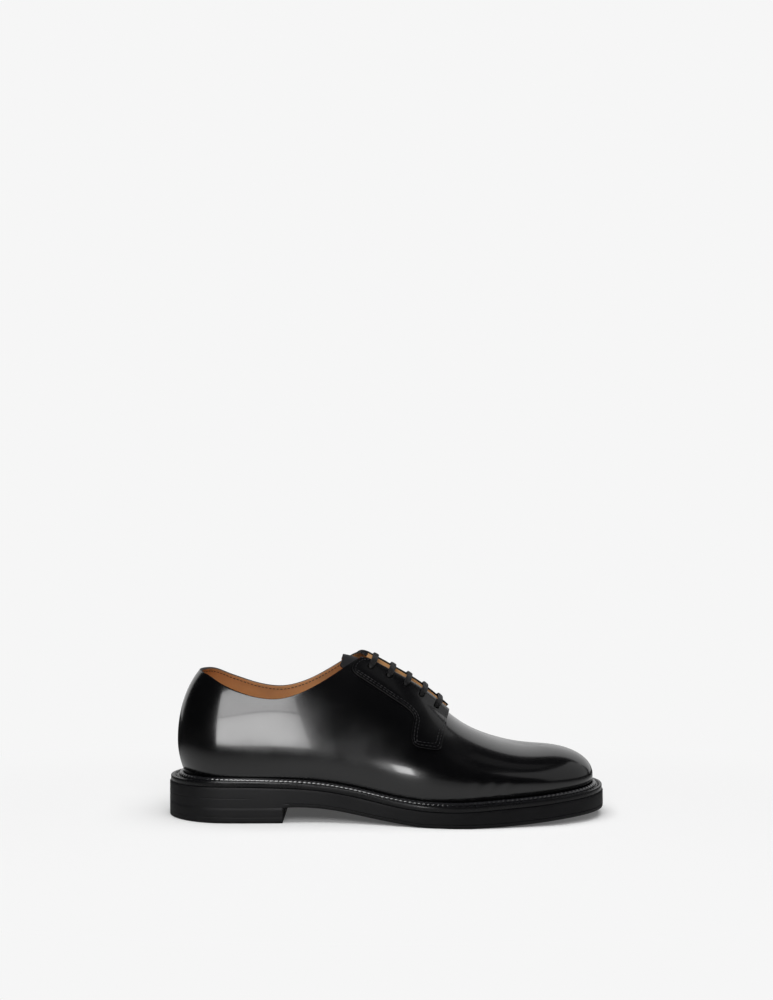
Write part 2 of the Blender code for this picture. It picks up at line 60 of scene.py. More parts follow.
MM = 0.001
UP = (0.0, 0.0, 1.0)
LATERAL = -1
MEDIAL = 1
GAP = 0.3  # between two pieces that meet
WELT_RISE = 5.6  # from the sole's top to the feather line
WELT_EDGE = 0.7
BEAD_RISE = 4.45  # of the bead's middle over the sole's top
BEAD_SPACING = 0.5
UPPER_WALL = 2.0
UPPER_ROWS = 34  # of faces, from the bulge to the top edge
INSOLE_THICK = 3.5
HEEL_BREAST_X = -70.0
HEEL_HEIGHT = 10.5
SOLE_COLUMNS = 240  # of faces along each side of sole and welt
LACING_Y = 1.0
THROAT_HALF = 7.0
THROAT_FRONT_X = 40.0
THROAT_ROUND = 8.0
FACING_THICK = 1.4
FACING_LIFT = 2.6
EYELET_INSET = 8.0
EYELET_RADIUS = 2.0
LACE_CORE = 2.4
BAR_SLOPE = 0.6
TONGUE_THICK = 2.0
TONGUE_HALF = 21.0
TONGUE_TOP_X = -30.0
TONGUE_BEND_X = -10.0
TONGUE_SAG = 6.0
TONGUE_FRONT_X = 56.0

# Sections of the last, as in the solids: an upright half plane each, turning from straight back (0) over
# straight sideways (90) to straight forward (180)
Section = namedtuple(
    "Section",
    "place axis_x axis_y turn ridge bulge lat_bulge lat_feather med_bulge med_feather lat_sole med_sole "
    "fullness lean",
)
SECTIONS = (
    Section("heel_back", -108, 0, 0, 112, 52, 37.6, 32.8, 37.6, 32.8, 43, 43, 2.0, 0),
    Section("heel_corner", -107.5, 0, 45, 116, 52, 35.6, 31.2, 35.6, 31.2, 38.8, 38.8, 2.0, 0),
    Section("heel_side", -102, 0, 84, 125, 50, 34, 30.8, 33.6, 30.3, 36, 35.8, 2.0, 0),
    Section("seat", -78, 0, 90, 138, 48, 33.6, 30.6, 33, 29.6, 35.6, 34.8, 2.0, 0.5),
    Section("waist_rear", -48, 0, 90, 132, 45, 34, 29.8, 31.4, 26, 34.6, 31, 1.95, 2),
    Section("waist", -20, 0, 90, 114.5, 42, 36.5, 32.4, 32.6, 25.8, 37.6, 30.8, 1.9, 4.5),
    Section("instep", 8, 0, 90, 98.2, 37, 41.5, 38.6, 38.2, 32.4, 44.8, 37.6, 1.9, 5),
    Section("joint_rear", 30, 0, 90, 81, 33, 45.5, 43.4, 44.4, 41, 50.4, 47.4, 1.95, 5),
    Section("ball", 52, 0.5, 90, 62.3, 30, 47.5, 45.5, 48, 46, 53.2, 52.6, 2.05, 4.5),
    Section("ball_front", 75, 1, 91, 51.6, 29, 46.2, 43.8, 47.6, 45.4, 51, 52, 2.15, 4),
    Section("toe_root", 93, 1.5, 99, 47.2, 28, 42.4, 40.2, 44.2, 42, 47.4, 48.6, 2.2, 3.4),
    Section("toe_side", 103, 2, 123, 46.5, 27.4, 39, 37.4, 40.4, 38.8, 44.8, 45.8, 2.2, 2.8),
    Section("toe_corner", 106, 2, 152, 46.3, 27, 38, 36.6, 38.4, 37, 44.6, 44.8, 2.2, 2.5),
    Section("toe_front", 106, 2, 180, 46.3, 27, 37.9, 36.5, 37.9, 36.5, 45, 45, 2.2, 2.5),
)
LAST_STATION = len(SECTIONS) - 1

Level = namedtuple("Level", "x tread seat")
LEVELS = (
    Level(-152, 10.5, 23.5),
    Level(-110, 10.5, 24.2),
    Level(-71, 10.5, 23.4),
    Level(-58, 10.5, 22.7),
    Level(-44, 9.6, 21.4),
    Level(-31, 7.9, 19.6),
    Level(-14, 5.0, 16.6),
    Level(3, 2.4, 13.3),
    Level(16, 0.8, 11.5),
    Level(24, 0.0, 10.8),
    Level(40, -0.7, 10.4),
    Level(57, 0.0, 10.7),
    Level(70, 0.4, 11.5),
    Level(98, 2.0, 13.2),
    Level(126, 4.3, 15.4),
    Level(152, 5.6, 17.2),
)

Collar = namedtuple("Collar", "x lateral medial")
COLLAR = (
    Collar(-140, 103.0, 103.0),
    Collar(-130.5, 100.4, 100.4),
    Collar(-123.5, 98.9, 99.4),
    Collar(-114.6, 94.4, 95.4),
    Collar(-103.9, 89.5, 91.0),
    Collar(-93.7, 86.0, 87.5),
    Collar(-83.8, 83.9, 85.4),
    Collar(-73.9, 83.5, 85.0),
    Collar(-63.9, 85.5, 87.0),
    Collar(-54, 89.3, 90.8),
    Collar(-44, 94.5, 96.2),
    Collar(-34.2, 100.3, 102.4),
    Collar(-26.3, 105.2, 107.6),
    Collar(-18, 109.3, 111.8),
    Collar(-10, 111.0, 113.6),
)

# The facing's outer edge seen from the side, and the place on the throat's edge that faces each point
FacingEdge = namedtuple("FacingEdge", "x z throat_x")
FACING_EDGE = (
    FacingEdge(-13, 109.0, -9.0),
    FacingEdge(-18.5, 108.2, -8.0),
    FacingEdge(-23, 105.2, -6.5),
    FacingEdge(-24, 100.5, -5.0),
    FacingEdge(-15, 94.8, 0.0),
    FacingEdge(-5, 88.5, 6.0),
    FacingEdge(5, 82.1, 13.0),
    FacingEdge(15.2, 75.6, 20.0),
    FacingEdge(19.2, 71, 23.5),
    FacingEdge(17.4, 65, 26.5),
    FacingEdge(16.8, 56, 29.0),
    FacingEdge(20, 52.6, 30.5),
    FacingEdge(28, 51.2, 32.0),
    FacingEdge(36.4, 50.2, 34.0),
    FacingEdge(37, 54.8, 35.5),
    FacingEdge(40, 62.6, 37.0),
    FacingEdge(41, 68.8, 38.0),
    FacingEdge(40.8, 72.5, 38.8),
)
EYELETS_X = (-11.5, 1.0, 12.3, 23.0, 33.0)

# Faint creases where the vamp bends, low on its sides: place, slant, lowest and highest point, depth, width
Crease = namedtuple("Crease", "side x slant low high depth width")
CREASES = (
    Crease(LATERAL, 58, 0.35, 19, 38, 0.16, 3.4),
    Crease(LATERAL, 67, 0.45, 18, 36, 0.2, 3.0),
    Crease(LATERAL, 76, 0.55, 18, 34, 0.16, 3.2),
    Crease(MEDIAL, 63, 0.4, 19, 37, 0.18, 3.2),
    Crease(MEDIAL, 74, 0.5, 18, 35, 0.16, 3.2),
)


class Curve:
    """A cubic spline through the given knots, level at both ends or free there."""

    def __init__(self, knots, values, level_ends):
        self.knots = np.array(knots, dtype=float)
        self.values = np.array(values, dtype=float)
        count = len(self.knots)
        width = np.diff(self.knots)
        rise = np.diff(self.values) / width
        matrix = np.eye(count)
        target = np.zeros(count)
        for i in range(1, count - 1):
            matrix[i, i - 1 : i + 2] = (1 / width[i - 1], 2 / width[i - 1] + 2 / width[i], 1 / width[i])
            target[i] = 3 * (rise[i - 1] / width[i - 1] + rise[i] / width[i])
        if not level_ends:
            matrix[0, :2] = (2, 1)
            matrix[-1, -2:] = (1, 2)
            target[0] = 3 * rise[0]
            target[-1] = 3 * rise[-1]
        self.slopes = np.linalg.solve(matrix, target)

    def __call__(self, place):
        i = np.clip(np.searchsorted(self.knots, place) - 1, 0, len(self.knots) - 2)
        width = self.knots[i + 1] - self.knots[i]
        u = (place - self.knots[i]) / width
        start = (1 + 2 * u) * (1 - u) ** 2 * self.values[i] + u * (1 - u) ** 2 * width * self.slopes[i]
        end = u * u * (3 - 2 * u) * self.values[i + 1] + u * u * (u - 1) * width * self.slopes[i + 1]
        return start + end


def column(table, key, field, level_ends=False):
    """The curve of one column of a table over another."""
    return Curve([getattr(row, key) for row in table], [getattr(row, field) for row in table], level_ends)


SEAT = column(LEVELS, "x", "seat")
TREAD = column(LEVELS, "x", "tread")
COLLAR_HEIGHT = {LATERAL: column(COLLAR, "x", "lateral"), MEDIAL: column(COLLAR, "x", "medial")}
LAST = {
    field: Curve(range(len(SECTIONS)), [getattr(row, field) for row in SECTIONS], field != "turn")
    for field in Section._fields[1:]
}


def running_length(line):
    """The distance along a line of points, at each of them."""
    return np.concatenate(([0.0], np.cumsum(np.linalg.norm(np.diff(line, axis=0), axis=1))))


def unit(vectors):
    """An array of vectors, each made one long."""
    return vectors / np.maximum(np.linalg.norm(vectors, axis=-1), 1e-9)[..., None]


def smooth_step(value):
    """0 below 0, 1 above 1 and an even curve between."""
    inside = np.clip(value, 0.0, 1.0)
    return inside * inside * (3 - 2 * inside)


def reach(side, s, kind):
    """How far the bulge, feather or sole of one side lies from the section's axis."""
    return LAST[("lat_" if side == LATERAL else "med_") + kind](s)


def plan(side, s, distance):
    """Places seen from above, x and y, at distances from the axes of sections."""
    turn = np.radians(LAST["turn"](s))
    return LAST["axis_x"](s) - np.cos(turn) * distance, LAST["axis_y"](s) + side * np.sin(turn) * distance


def surface(side, s, step):
    """Points of the last: step 0 is the foot on the sole, 1 the feather line, 2 the bulge, 3 the ridge."""
    feather_reach = reach(side, s, "feather")
    bulge_reach = reach(side, s, "bulge")
    seat = SEAT(plan(side, s, feather_reach)[0])
    bulge = LAST["bulge"](s)
    power = 2 / LAST["fullness"](s)
    angle = np.clip(step - 2, 0, 1) * pi / 2
    up = np.sin(angle) ** power
    low = np.clip(step - 1, 0, 1)
    foot = np.clip(step, 0, 1)
    height = seat + GAP + foot * (WELT_RISE - GAP) + low * (bulge - seat - WELT_RISE)
    height = height + up * (LAST["ridge"](s) - bulge)
    out = bulge_reach - (bulge_reach - feather_reach) * (1 - low) ** 2
    out = np.where(step > 2, bulge_reach * np.cos(angle) ** power, out)
    x, y = plan(side, s, out)
    return np.stack((x, y + LAST["lean"](s) * up**2, height), axis=-1)


def girth(s, count=161):
    """One section as a line over the instep: distance from the lacing line, profile step, and point."""
    step = np.linspace(2, 3, count)
    line = np.vstack((surface(LATERAL, s, step), surface(MEDIAL, s, step)[::-1][1:]))
    run = running_length(line)
    run = run - np.interp(LACING_Y, line[:, 1], run)
    return run, np.concatenate((step, step[::-1][1:])), line


AXIS_PLACES = np.linspace(3, 9.5, 2000)
AXIS_XS = LAST["axis_x"](AXIS_PLACES)


def station_of(x):
    """The station whose section stands at x, in the middle of the shoe."""
    return np.interp(x, AXIS_XS, AXIS_PLACES)


class Instep:
    """The last around the lacing, looked up by x and by distance over the instep."""

    STEP = 0.4

    def __init__(self):
        self.xs = np.arange(-70, 72, self.STEP)
        self.acrosses = np.arange(-62, 62.1, self.STEP)
        rows = []
        for x in self.xs:
            run, _, line = girth(station_of(x))
            rows.append(np.column_stack([np.interp(self.acrosses, run, line[:, k]) for k in range(3)]))
        self.points = np.array(rows)
        forward, inward = np.gradient(self.points, axis=(0, 1))
        self.normals = unit(np.cross(forward, inward))

    def look_up(self, table, x, across):
        """Values of a table between its four nearest entries."""
        u = np.clip((x - self.xs[0]) / self.STEP, 0, len(self.xs) - 1.001)
        v = np.clip((across - self.acrosses[0]) / self.STEP, 0, len(self.acrosses) - 1.001)
        i = u.astype(int)
        j = v.astype(int)
        du = (u - i)[..., None]
        dv = (v - j)[..., None]
        near = table[i, j] * (1 - dv) + table[i, j + 1] * dv
        far = table[i + 1, j] * (1 - dv) + table[i + 1, j + 1] * dv
        return near * (1 - du) + far * du

    def facing(self, x, across):
        """The outward directions of the last at x and at a distance over the instep."""
        return self.look_up(self.normals, np.asarray(x), np.asarray(across))

    def laid(self, x, across, out):
        """Points a distance out from the last, at x and at a distance over the instep."""
        x, across, out = [np.asarray(value, dtype=float) for value in (x, across, out)]
        x, across, out = np.broadcast_arrays(x, across, out)
        return self.look_up(self.points, x, across) + out[..., None] * self.facing(x, across)


INSTEP = Instep()


def across_at_height(x, height):
    """The distance over the instep, on the outer side, at which the last has this height."""
    run, _, line = girth(station_of(x))
    top = int(np.argmax(line[:, 2]))
    return float(np.interp(height, line[:top, 2], run[:top]))


def throat_half(x):
    """Half the width of the throat, closing in a round at its front."""
    past = np.clip((x - (THROAT_FRONT_X - THROAT_ROUND)) / THROAT_ROUND, 0, 1)
    return THROAT_HALF * np.sqrt(1 - past**2)


def top_step(side, s):
    """The profile step at which the upper ends: at the collar, at the throat or, in front, at the ridge."""
    step = np.linspace(2, 3, 600)
    points = surface(side, s, step)
    over = points[:, 2] - COLLAR_HEIGHT[side](np.minimum(points[:, 0], -10.0))
    top = 3.0
    first = int(np.argmax(over > 0))
    if points[0, 0] < -2 and first:
        top = step[first - 1] + (step[1] - step[0]) * over[first - 1] / (over[first - 1] - over[first])
    x = float(LAST["axis_x"](s))
    if TONGUE_TOP_X < x < THROAT_FRONT_X:
        run, kinds, _ = girth(s)
        top = min(top, float(np.interp(side * throat_half(x), run, kinds)))
    return top


def drape(shape, points, lengths=None):
    """Adds a grid of faces laid through an array of points, columns by rows; lengths give it a UV map."""
    columns, rows = points.shape[:2]
    made = bmesh.ops.create_grid(shape, x_segments=columns - 1, y_segments=rows - 1, size=0.5)["verts"]
    spots = {}
    for vert in made:
        spot = (round((vert.co.x + 0.5) * (columns - 1)), round((vert.co.y + 0.5) * (rows - 1)))
        spots[vert] = spot
        vert.co = Vector(points[spot]) * MM
    if lengths is not None:
        layer = shape.loops.layers.uv.verify()
        for face in {face for vert in made for face in vert.link_faces}:
            for loop in face.loops:
                loop[layer].uv = Vector(lengths[spots[loop.vert]]) * MM
    return made


def skin(*patches):
    """One mesh over several arrays of points whose common edges are merged."""
    shape = bmesh.new()
    for points in patches:
        drape(shape, points)
    bmesh.ops.remove_doubles(shape, verts=shape.verts, dist=0.01 * MM)
    return shape


def swept(centres, spokes, closed, lengths=None):
    """A tube: spokes, an array of offsets round each centre, with its ends closed unless it is a ring."""
    points = centres[:, None, :] + spokes
    points = np.concatenate((points, points[:, :1]), axis=1)
    if closed:
        points = np.concatenate((points, points[:1]), axis=0)
    shape = bmesh.new()
    drape(shape, points, lengths)
    bmesh.ops.remove_doubles(shape, verts=shape.verts, dist=0.004 * MM)
    if not closed:
        bmesh.ops.holes_fill(shape, edges=shape.edges, sides=0)
    bmesh.ops.recalc_face_normals(shape, faces=shape.faces)
    return shape


def collection_of(name):
    """The named collection, made when it is first asked for."""
    found = bpy.data.collections.get(name)
    if found is None:
        found = bpy.data.collections.new(name)
        bpy.context.scene.collection.children.link(found)
    return found


def piece(name, shape, materials, nodes, sharp=50):
    """A finished piece of the shoe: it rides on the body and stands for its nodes."""
    mesh = bpy.data.meshes.new(name)
    shape.to_mesh(mesh)
    shape.free()
    for material in materials:
        mesh.materials.append(material)
    mesh.shade_smooth()
    mesh.set_sharp_from_angle(angle=radians(sharp))
    item = bpy.data.objects.new(name, mesh)
    collection_of("shoe_pieces").objects.link(item)
    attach(item, "root")
    if nodes:
        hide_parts(*nodes)
    return item


def round_edges(item, width, angle):
    """Rounds the edges that are sharper than an angle in degrees."""
    edges = item.modifiers.new("round_edges", "BEVEL")
    edges.width = width * MM
    edges.segments = 2
    edges.limit_method = "ANGLE"
    edges.angle_limit = radians(angle)
    edges.material = -1


def thicken(item, thickness, offset, edge, inner_material=0, rim_material=0):
    """Gives a sheet its thickness and rounds its cut edges."""
    wall = item.modifiers.new("thickness", "SOLIDIFY")
    wall.thickness = thickness * MM
    wall.offset = offset
    wall.material_offset = inner_material
    wall.material_offset_rim = rim_material
    round_edges(item, edge, 55)


def cut_round_holes(shape, centres, axes, radius):
    """Opens round holes in a fine sheet by taking faces out and drawing the rim onto a circle."""
    for centre, axis in zip(centres, axes):
        middle = Vector(centre) * MM
        normal = Vector(axis)
        near = [face for face in shape.faces if (face.calc_center_median() - middle).length < radius * MM]
        bmesh.ops.delete(shape, geom=near, context="FACES")
        for vert in shape.verts:
            away = vert.co - middle
            if away.length < 2 * radius * MM and vert.is_boundary:
                rise = normal * away.dot(normal)
                vert.co = middle + rise + (away - rise).normalized() * radius * MM


def even_stations(count, low=0.0, high=float(LAST_STATION)):
    """Station numbers spaced evenly along the side of the shoe."""
    dense = np.linspace(low, high, 4000)
    line = surface(LATERAL, dense, np.full(len(dense), 2.0))
    run = running_length(line)
    return np.interp(np.linspace(0, run[-1], count), run, dense)


def both_sides(make):
    """Patches for the two sides, facing the same way: make gives an array of points for one side."""
    return make(LATERAL), make(MEDIAL)[::-1]


def array_normals(points):
    """The upright direction at each point of an array laid over a surface."""
    forward, upward = np.gradient(points, axis=(0, 1))
    return unit(np.cross(forward, upward))


def crease_depths(side, points):
    """How far the leather sinks at each point, and swells beside it, for the creases of one side."""
    sunk = np.zeros(points.shape[:2])
    for crease in CREASES:
        if crease.side != side:
            continue
        offset = points[:, :, 0] - crease.x - crease.slant * (points[:, :, 2] - crease.low)
        height = points[:, :, 2]
        fade = smooth_step((height - crease.low) / 7) * smooth_step((crease.high - height) / 9)
        near = offset / crease.width
        sunk += crease.depth * fade * (np.exp(-(near**2)) - 0.45 * np.exp(-((np.abs(near) - 1.9) ** 2)))
    return sunk


def upper_side(side, stations):
    """Points of one side of the upper from its foot to its top edge."""
    tops = np.array([top_step(LATERAL if s == 0 else side, s) for s in stations])
    above = np.linspace(0, 1, UPPER_ROWS)
    steps = np.column_stack([np.zeros(len(tops)), np.full(len(tops), 0.5)])
    lower = np.tile(np.linspace(1, 2, UPPER_ROWS // 2, endpoint=False), (len(tops), 1))
    upper = 2 + (tops[:, None] - 2) * above[None, :]
    steps = np.concatenate((steps, lower, upper), axis=1)
    points = surface(side, stations[:, None], steps)
    normals = array_normals(points) * -side
    return points + normals * -crease_depths(side, points)[:, :, None]


def punch_eyelets(shape, spots, outs):
    """Opens the round eyelet holes of a sheet that lies a distance out from the last."""
    centres = [INSTEP.laid(x, across, out) for (x, across), out in zip(spots, outs)]
    axes = [INSTEP.facing(x, across) for x, across in spots]
    cut_round_holes(shape, centres, axes, EYELET_RADIUS)


def eyelet_places():
    """Pairs of (x, distance over the instep) for the eyelets, one pair for each lace bar."""
    places = []
    across = THROAT_HALF + EYELET_INSET
    for x in EYELETS_X:
        height = INSTEP.laid(x, -across, 0.0)[2]
        places.append({LATERAL: (x, -across), MEDIAL: (float(bar_x(x, height, across)), across)})
    return places


def bar_x(x, height, across):
    """The x of a lace bar at a distance over the instep, where it starts at x and height."""
    spot = np.asarray(x, dtype=float)
    for _ in range(14):
        spot = x + BAR_SLOPE * (INSTEP.laid(spot, across, 0.0)[..., 2] - height)
    return spot


def lift(x, across):
    """How far a facing stands up from the upper: most at its front corner beside the throat."""
    forward = smooth_step((x - 2) / 36)
    near = smooth_step(1 - (np.abs(across) - THROAT_HALF) / 13)
    return FACING_LIFT * forward * near


def rounded(points):
    """A line with its corners cut three times, its two ends kept."""
    line = np.asarray(points, dtype=float)
    for _ in range(3):
        first = 0.75 * line[:-1] + 0.25 * line[1:]
        second = 0.25 * line[:-1] + 0.75 * line[1:]
        middle = np.stack((first, second), axis=1).reshape(-1, line.shape[1])
        line = np.vstack((line[:1], middle[1:-1], line[-1:]))
    return line


def evenly(line, spacing, axes=2):
    """Points at even spacing along a line, whose length is measured over its first columns."""
    run = running_length(line[:, :axes])
    marks = np.linspace(0, run[-1], max(int(round(run[-1] / spacing)), 2) + 1)
    return np.column_stack([np.interp(marks, run, line[:, k]) for k in range(line.shape[1])])


def facing_rim():
    """The facing's outer edge as (x, distance over the instep, x on the throat edge)."""
    rows = [(p.x, max(-across_at_height(p.x, p.z), THROAT_HALF), p.throat_x) for p in FACING_EDGE]
    return evenly(rounded(rows), 0.8)


def inset_line(line, distance):
    """The line moved sideways, towards the facing's middle."""
    heading = unit(np.gradient(line[:, :2], axis=0))
    return line[:, :2] + distance * np.column_stack((heading[:, 1], -heading[:, 0]))


def add_node(tree, kind, inputs=None, group=None, **settings):
    """A node with its settings, and its inputs linked to a socket or set to a value."""
    made = tree.nodes.new(kind)
    if group is not None:
        made.node_tree = group
    for name, value in settings.items():
        setattr(made, name, value)
    for name, value in (inputs or {}).items():
        if isinstance(value, bpy.types.NodeSocket):
            tree.links.new(value, made.inputs[name])
        else:
            made.inputs[name].default_value = value
    return made


def new_group(name, inputs, outputs):
    """An empty node group with its sockets, and its input and output nodes."""
    tree = bpy.data.node_groups.new(name, "ShaderNodeTree")
    for label, kind, value in inputs:
        socket = tree.interface.new_socket(name=label, in_out="INPUT", socket_type=kind)
        if value is not None:
            socket.default_value = value
    for label, kind in outputs:
        tree.interface.new_socket(name=label, in_out="OUTPUT", socket_type=kind)
    return tree, tree.nodes.new("NodeGroupInput").outputs, tree.nodes.new("NodeGroupOutput").inputs


def leather_grain_group():
    """Pores and fine folds of leather as a height."""
    tree, given, result = new_group(
        "leather_grain",
        [("Vector", "NodeSocketVector", None), ("Pore Scale", "NodeSocketFloat", 1500.0),
         ("Fold Scale", "NodeSocketFloat", 260.0), ("Fold Share", "NodeSocketFloat", 0.35)],
        [("Height", "NodeSocketFloat")],
    )
    pores = add_node(
        tree, "ShaderNodeTexVoronoi", {"Vector": given["Vector"], "Scale": given["Pore Scale"]},
        feature="SMOOTH_F1",
    )
    folds = add_node(
        tree, "ShaderNodeTexNoise",
        {"Vector": given["Vector"], "Scale": given["Fold Scale"], "Detail": 5.0, "Roughness": 0.6},
    )
    mixed = add_node(
        tree, "ShaderNodeMix",
        {"Factor": given["Fold Share"], "A": pores.outputs["Distance"], "B": folds.outputs["Fac"]},
    )
    tree.links.new(mixed.outputs["Result"], result["Height"])
    return tree


def cloudy_group():
    """A slow variation between two values, for polish, handling and age."""
    tree, given, result = new_group(
        "cloudy",
        [("Vector", "NodeSocketVector", None), ("Scale", "NodeSocketFloat", 30.0),
         ("Low", "NodeSocketFloat", 0.0), ("High", "NodeSocketFloat", 1.0)],
        [("Value", "NodeSocketFloat")],
    )
    cloud = add_node(
        tree, "ShaderNodeTexNoise", {"Vector": given["Vector"], "Scale": given["Scale"], "Detail": 4.0}
    )
    spread = add_node(
        tree, "ShaderNodeMapRange",
        {"Value": cloud.outputs["Fac"], "From Min": 0.3, "From Max": 0.7,
         "To Min": given["Low"], "To Max": given["High"]},
    )
    tree.links.new(spread.outputs["Result"], result["Value"])
    return tree


def shared_group(name):
    """A node group, built when a material first asks for it."""
    makers = {"leather_grain": leather_grain_group, "cloudy": cloudy_group}
    return bpy.data.node_groups.get(name) or makers[name]()


class Surface:
    """A material in the making: its shader, and short ways to vary colour, roughness and height."""

    def __init__(self, name, coat=0.0, coat_roughness=0.1, sheen=0.0, specular=0.5):
        self.material = bpy.data.materials.new(name)
        self.material.use_nodes = True
        self.tree = self.material.node_tree
        self.shader = self.tree.nodes["Principled BSDF"]
        self.shader.inputs["Coat Weight"].default_value = coat
        self.shader.inputs["Coat Roughness"].default_value = coat_roughness
        self.shader.inputs["Sheen Weight"].default_value = sheen
        self.shader.inputs["Specular IOR Level"].default_value = specular
        self.place = add_node(self.tree, "ShaderNodeTexCoord").outputs["Object"]

    def cloudy(self, scale, low, high):
        """A slowly varying value."""
        inputs = {"Vector": self.place, "Scale": scale, "Low": low, "High": high}
        return add_node(self.tree, "ShaderNodeGroup", inputs, shared_group("cloudy")).outputs["Value"]

    def grain(self, pore_scale, fold_scale, fold_share):
        """The height of a leather grain."""
        inputs = {
            "Vector": self.place, "Pore Scale": pore_scale, "Fold Scale": fold_scale,
            "Fold Share": fold_share,
        }
        made = add_node(self.tree, "ShaderNodeGroup", inputs, shared_group("leather_grain"))
        return made.outputs["Height"]

    def noise(self, scale, detail):
        inputs = {"Vector": self.place, "Scale": scale, "Detail": detail}
        return add_node(self.tree, "ShaderNodeTexNoise", inputs).outputs["Fac"]

    def tint(self, factor, colour, least, most):
        """The base colour: a colour from the panel, made weaker or stronger by a factor."""
        chosen = getattr(bpy.context.scene.derby_finish, colour)
        weak, strong = [(*[share * value for value in chosen], 1.0) for share in (least, most)]
        mixed = add_node(self.tree, "ShaderNodeMix", {0: factor, 6: weak, 7: strong}, data_type="RGBA")
        self.tree.links.new(mixed.outputs[2], self.shader.inputs["Base Color"])

    def rough(self, scale, low, high):
        """Roughness that drifts between two values."""
        self.tree.links.new(self.cloudy(scale, low, high), self.shader.inputs["Roughness"])

    def bump(self, height, depth, strength=1.0):
        """Relief of a depth in millimetres, on top of what is there."""
        inputs = {"Height": height, "Strength": strength, "Distance": depth * MM}
        made = add_node(self.tree, "ShaderNodeBump", inputs)
        socket = self.shader.inputs["Normal"]
        if socket.is_linked:
            self.tree.links.new(socket.links[0].from_socket, made.inputs["Normal"])
        self.tree.links.new(made.outputs["Normal"], socket)


def polished_leather():
    """Smooth black leather under a hard polish."""
    look = Surface("polished_leather", coat=0.35, coat_roughness=0.07)
    look.tint(look.cloudy(22.0, 0.0, 1.0), "leather", 1.0, 1.7)
    look.rough(34.0, 0.15, 0.27)
    look.bump(look.grain(1900.0, 240.0, 0.5), 0.012)
    look.bump(look.noise(38.0, 2.0), 0.25, 0.12)
    return look.material


def dull_leather():
    """The tongue's soft black leather, not polished."""
    look = Surface("dull_leather")
    look.tint(look.cloudy(60.0, 0.0, 1.0), "tongue", 1.0, 1.5)
    look.rough(50.0, 0.48, 0.7)
    look.bump(look.grain(1100.0, 300.0, 0.3), 0.06)
    return look.material


def tan_lining():
    """Plain tan lining leather, a little darker where it is handled."""
    look = Surface("tan_lining")
    look.tint(look.cloudy(26.0, 0.0, 1.0), "lining", 1.0, 0.72)
    look.rough(40.0, 0.42, 0.6)
    look.bump(look.grain(1300.0, 330.0, 0.4), 0.05)
    return look.material


def moulded_rubber():
    """Matt black moulded rubber with a faint speckle and a trace of dust."""
    look = Surface("moulded_rubber", specular=0.2)
    look.tint(look.cloudy(90.0, 0.0, 1.0), "rubber", 1.0, 1.6)
    look.rough(45.0, 0.5, 0.7)
    look.bump(look.noise(2600.0, 2.0), 0.03)
    look.bump(look.noise(130.0, 2.0), 0.06, 0.5)
    return look.material


def smooth_rubber():
    """The welt's smoother black rubber."""
    look = Surface("smooth_rubber", specular=0.25)
    look.tint(look.cloudy(80.0, 0.0, 1.0), "rubber", 1.0, 1.4)
    look.rough(60.0, 0.2, 0.34)
    look.bump(look.noise(1800.0, 2.0), 0.02)
    return look.material


def bead_rubber():
    """The bead's harder, shinier rubber, moulded like a twisted cord, with painted highlight: its base
    colour is the welt's black rubber made two to four times lighter, for the glints the bead catches.
    """
    look = Surface("bead_rubber", coat=1.0, coat_roughness=0.16)
    # painted highlight: the black rubber colour taken two to four times lighter than on the welt, standing
    # in for the bead's glints
    look.tint(look.cloudy(120.0, 0.0, 1.0), "rubber", 2.0, 4.0)
    look.rough(220.0, 0.14, 0.26)
    look.bump(look.noise(1500.0, 2.0), 0.03)
    return look.material


def waxed_thread():
    """Black waxed sewing thread."""
    look = Surface("waxed_thread")
    look.tint(look.cloudy(400.0, 0.0, 1.0), "thread", 1.0, 1.8)
    look.rough(300.0, 0.24, 0.38)
    look.bump(look.noise(5200.0, 1.0), 0.05)
    return look.material


def woven_lace():
    """Flat woven black cotton: two sets of slanting threads, laid along the lace's own map."""
    look = Surface("woven_lace", sheen=0.01)
    along = add_node(look.tree, "ShaderNodeTexCoord").outputs["UV"]
    heights = []
    for turn in (0.62, -0.62):
        tilted = add_node(look.tree, "ShaderNodeMapping", {"Vector": along, "Rotation": (0.0, 0.0, turn)})
        inputs = {"Vector": tilted.outputs["Vector"], "Scale": 300.0, "Distortion": 0.6}
        heights.append(add_node(look.tree, "ShaderNodeTexWave", inputs).outputs["Fac"])
    woven = add_node(look.tree, "ShaderNodeMath", {0: heights[0], 1: heights[1]}, operation="MAXIMUM")
    woven = woven.outputs[0]
    look.tint(woven, "lace", 0.5, 1.6)
    look.rough(200.0, 0.55, 0.75)
    look.bump(woven, 0.16)
    look.bump(look.noise(5000.0, 1.0), 0.04)
    return look.material


MATERIAL_MAKERS = (
    polished_leather, dull_leather, tan_lining, moulded_rubber, smooth_rubber, bead_rubber, waxed_thread,
    woven_lace,
)


def finish_of(name):
    """A material by its name, made when a piece first asks for it.

    No name is one of the solids' own materials, which are in the file already.
    """
    makers = {maker.__name__: maker for maker in MATERIAL_MAKERS}
    return bpy.data.materials.get(name) or makers[name]()


class DerbySizes(bpy.types.PropertyGroup):
    """Sizes that a user may change without changing the solids."""

    stitch_length: FloatProperty(
        name="Stitch length", description="Length of one stitch on the facings", default=2.0 * MM,
        unit="LENGTH",
    )
    stitch_gap: FloatProperty(
        name="Stitch gap", description="Distance between two stitches", default=0.7 * MM, unit="LENGTH"
    )
    thread_width: FloatProperty(
        name="Thread width", description="Thickness of the sewing thread", default=0.55 * MM, unit="LENGTH"
    )
    lace_width: FloatProperty(
        name="Lace width", description="Width of a flat lace bar", default=4.2 * MM, unit="LENGTH"
    )
    lace_thickness: FloatProperty(
        name="Lace thickness", description="Thickness of a flat lace bar", default=1.6 * MM, unit="LENGTH"
    )
    bead_pitch: FloatProperty(
        name="Bead pitch", description="Length of one turn of the welt's twisted bead", default=3.2 * MM,
        unit="LENGTH",
    )
    upper_columns: IntProperty(
        name="Upper columns", description="Columns of faces along each side of the upper", default=230
    )


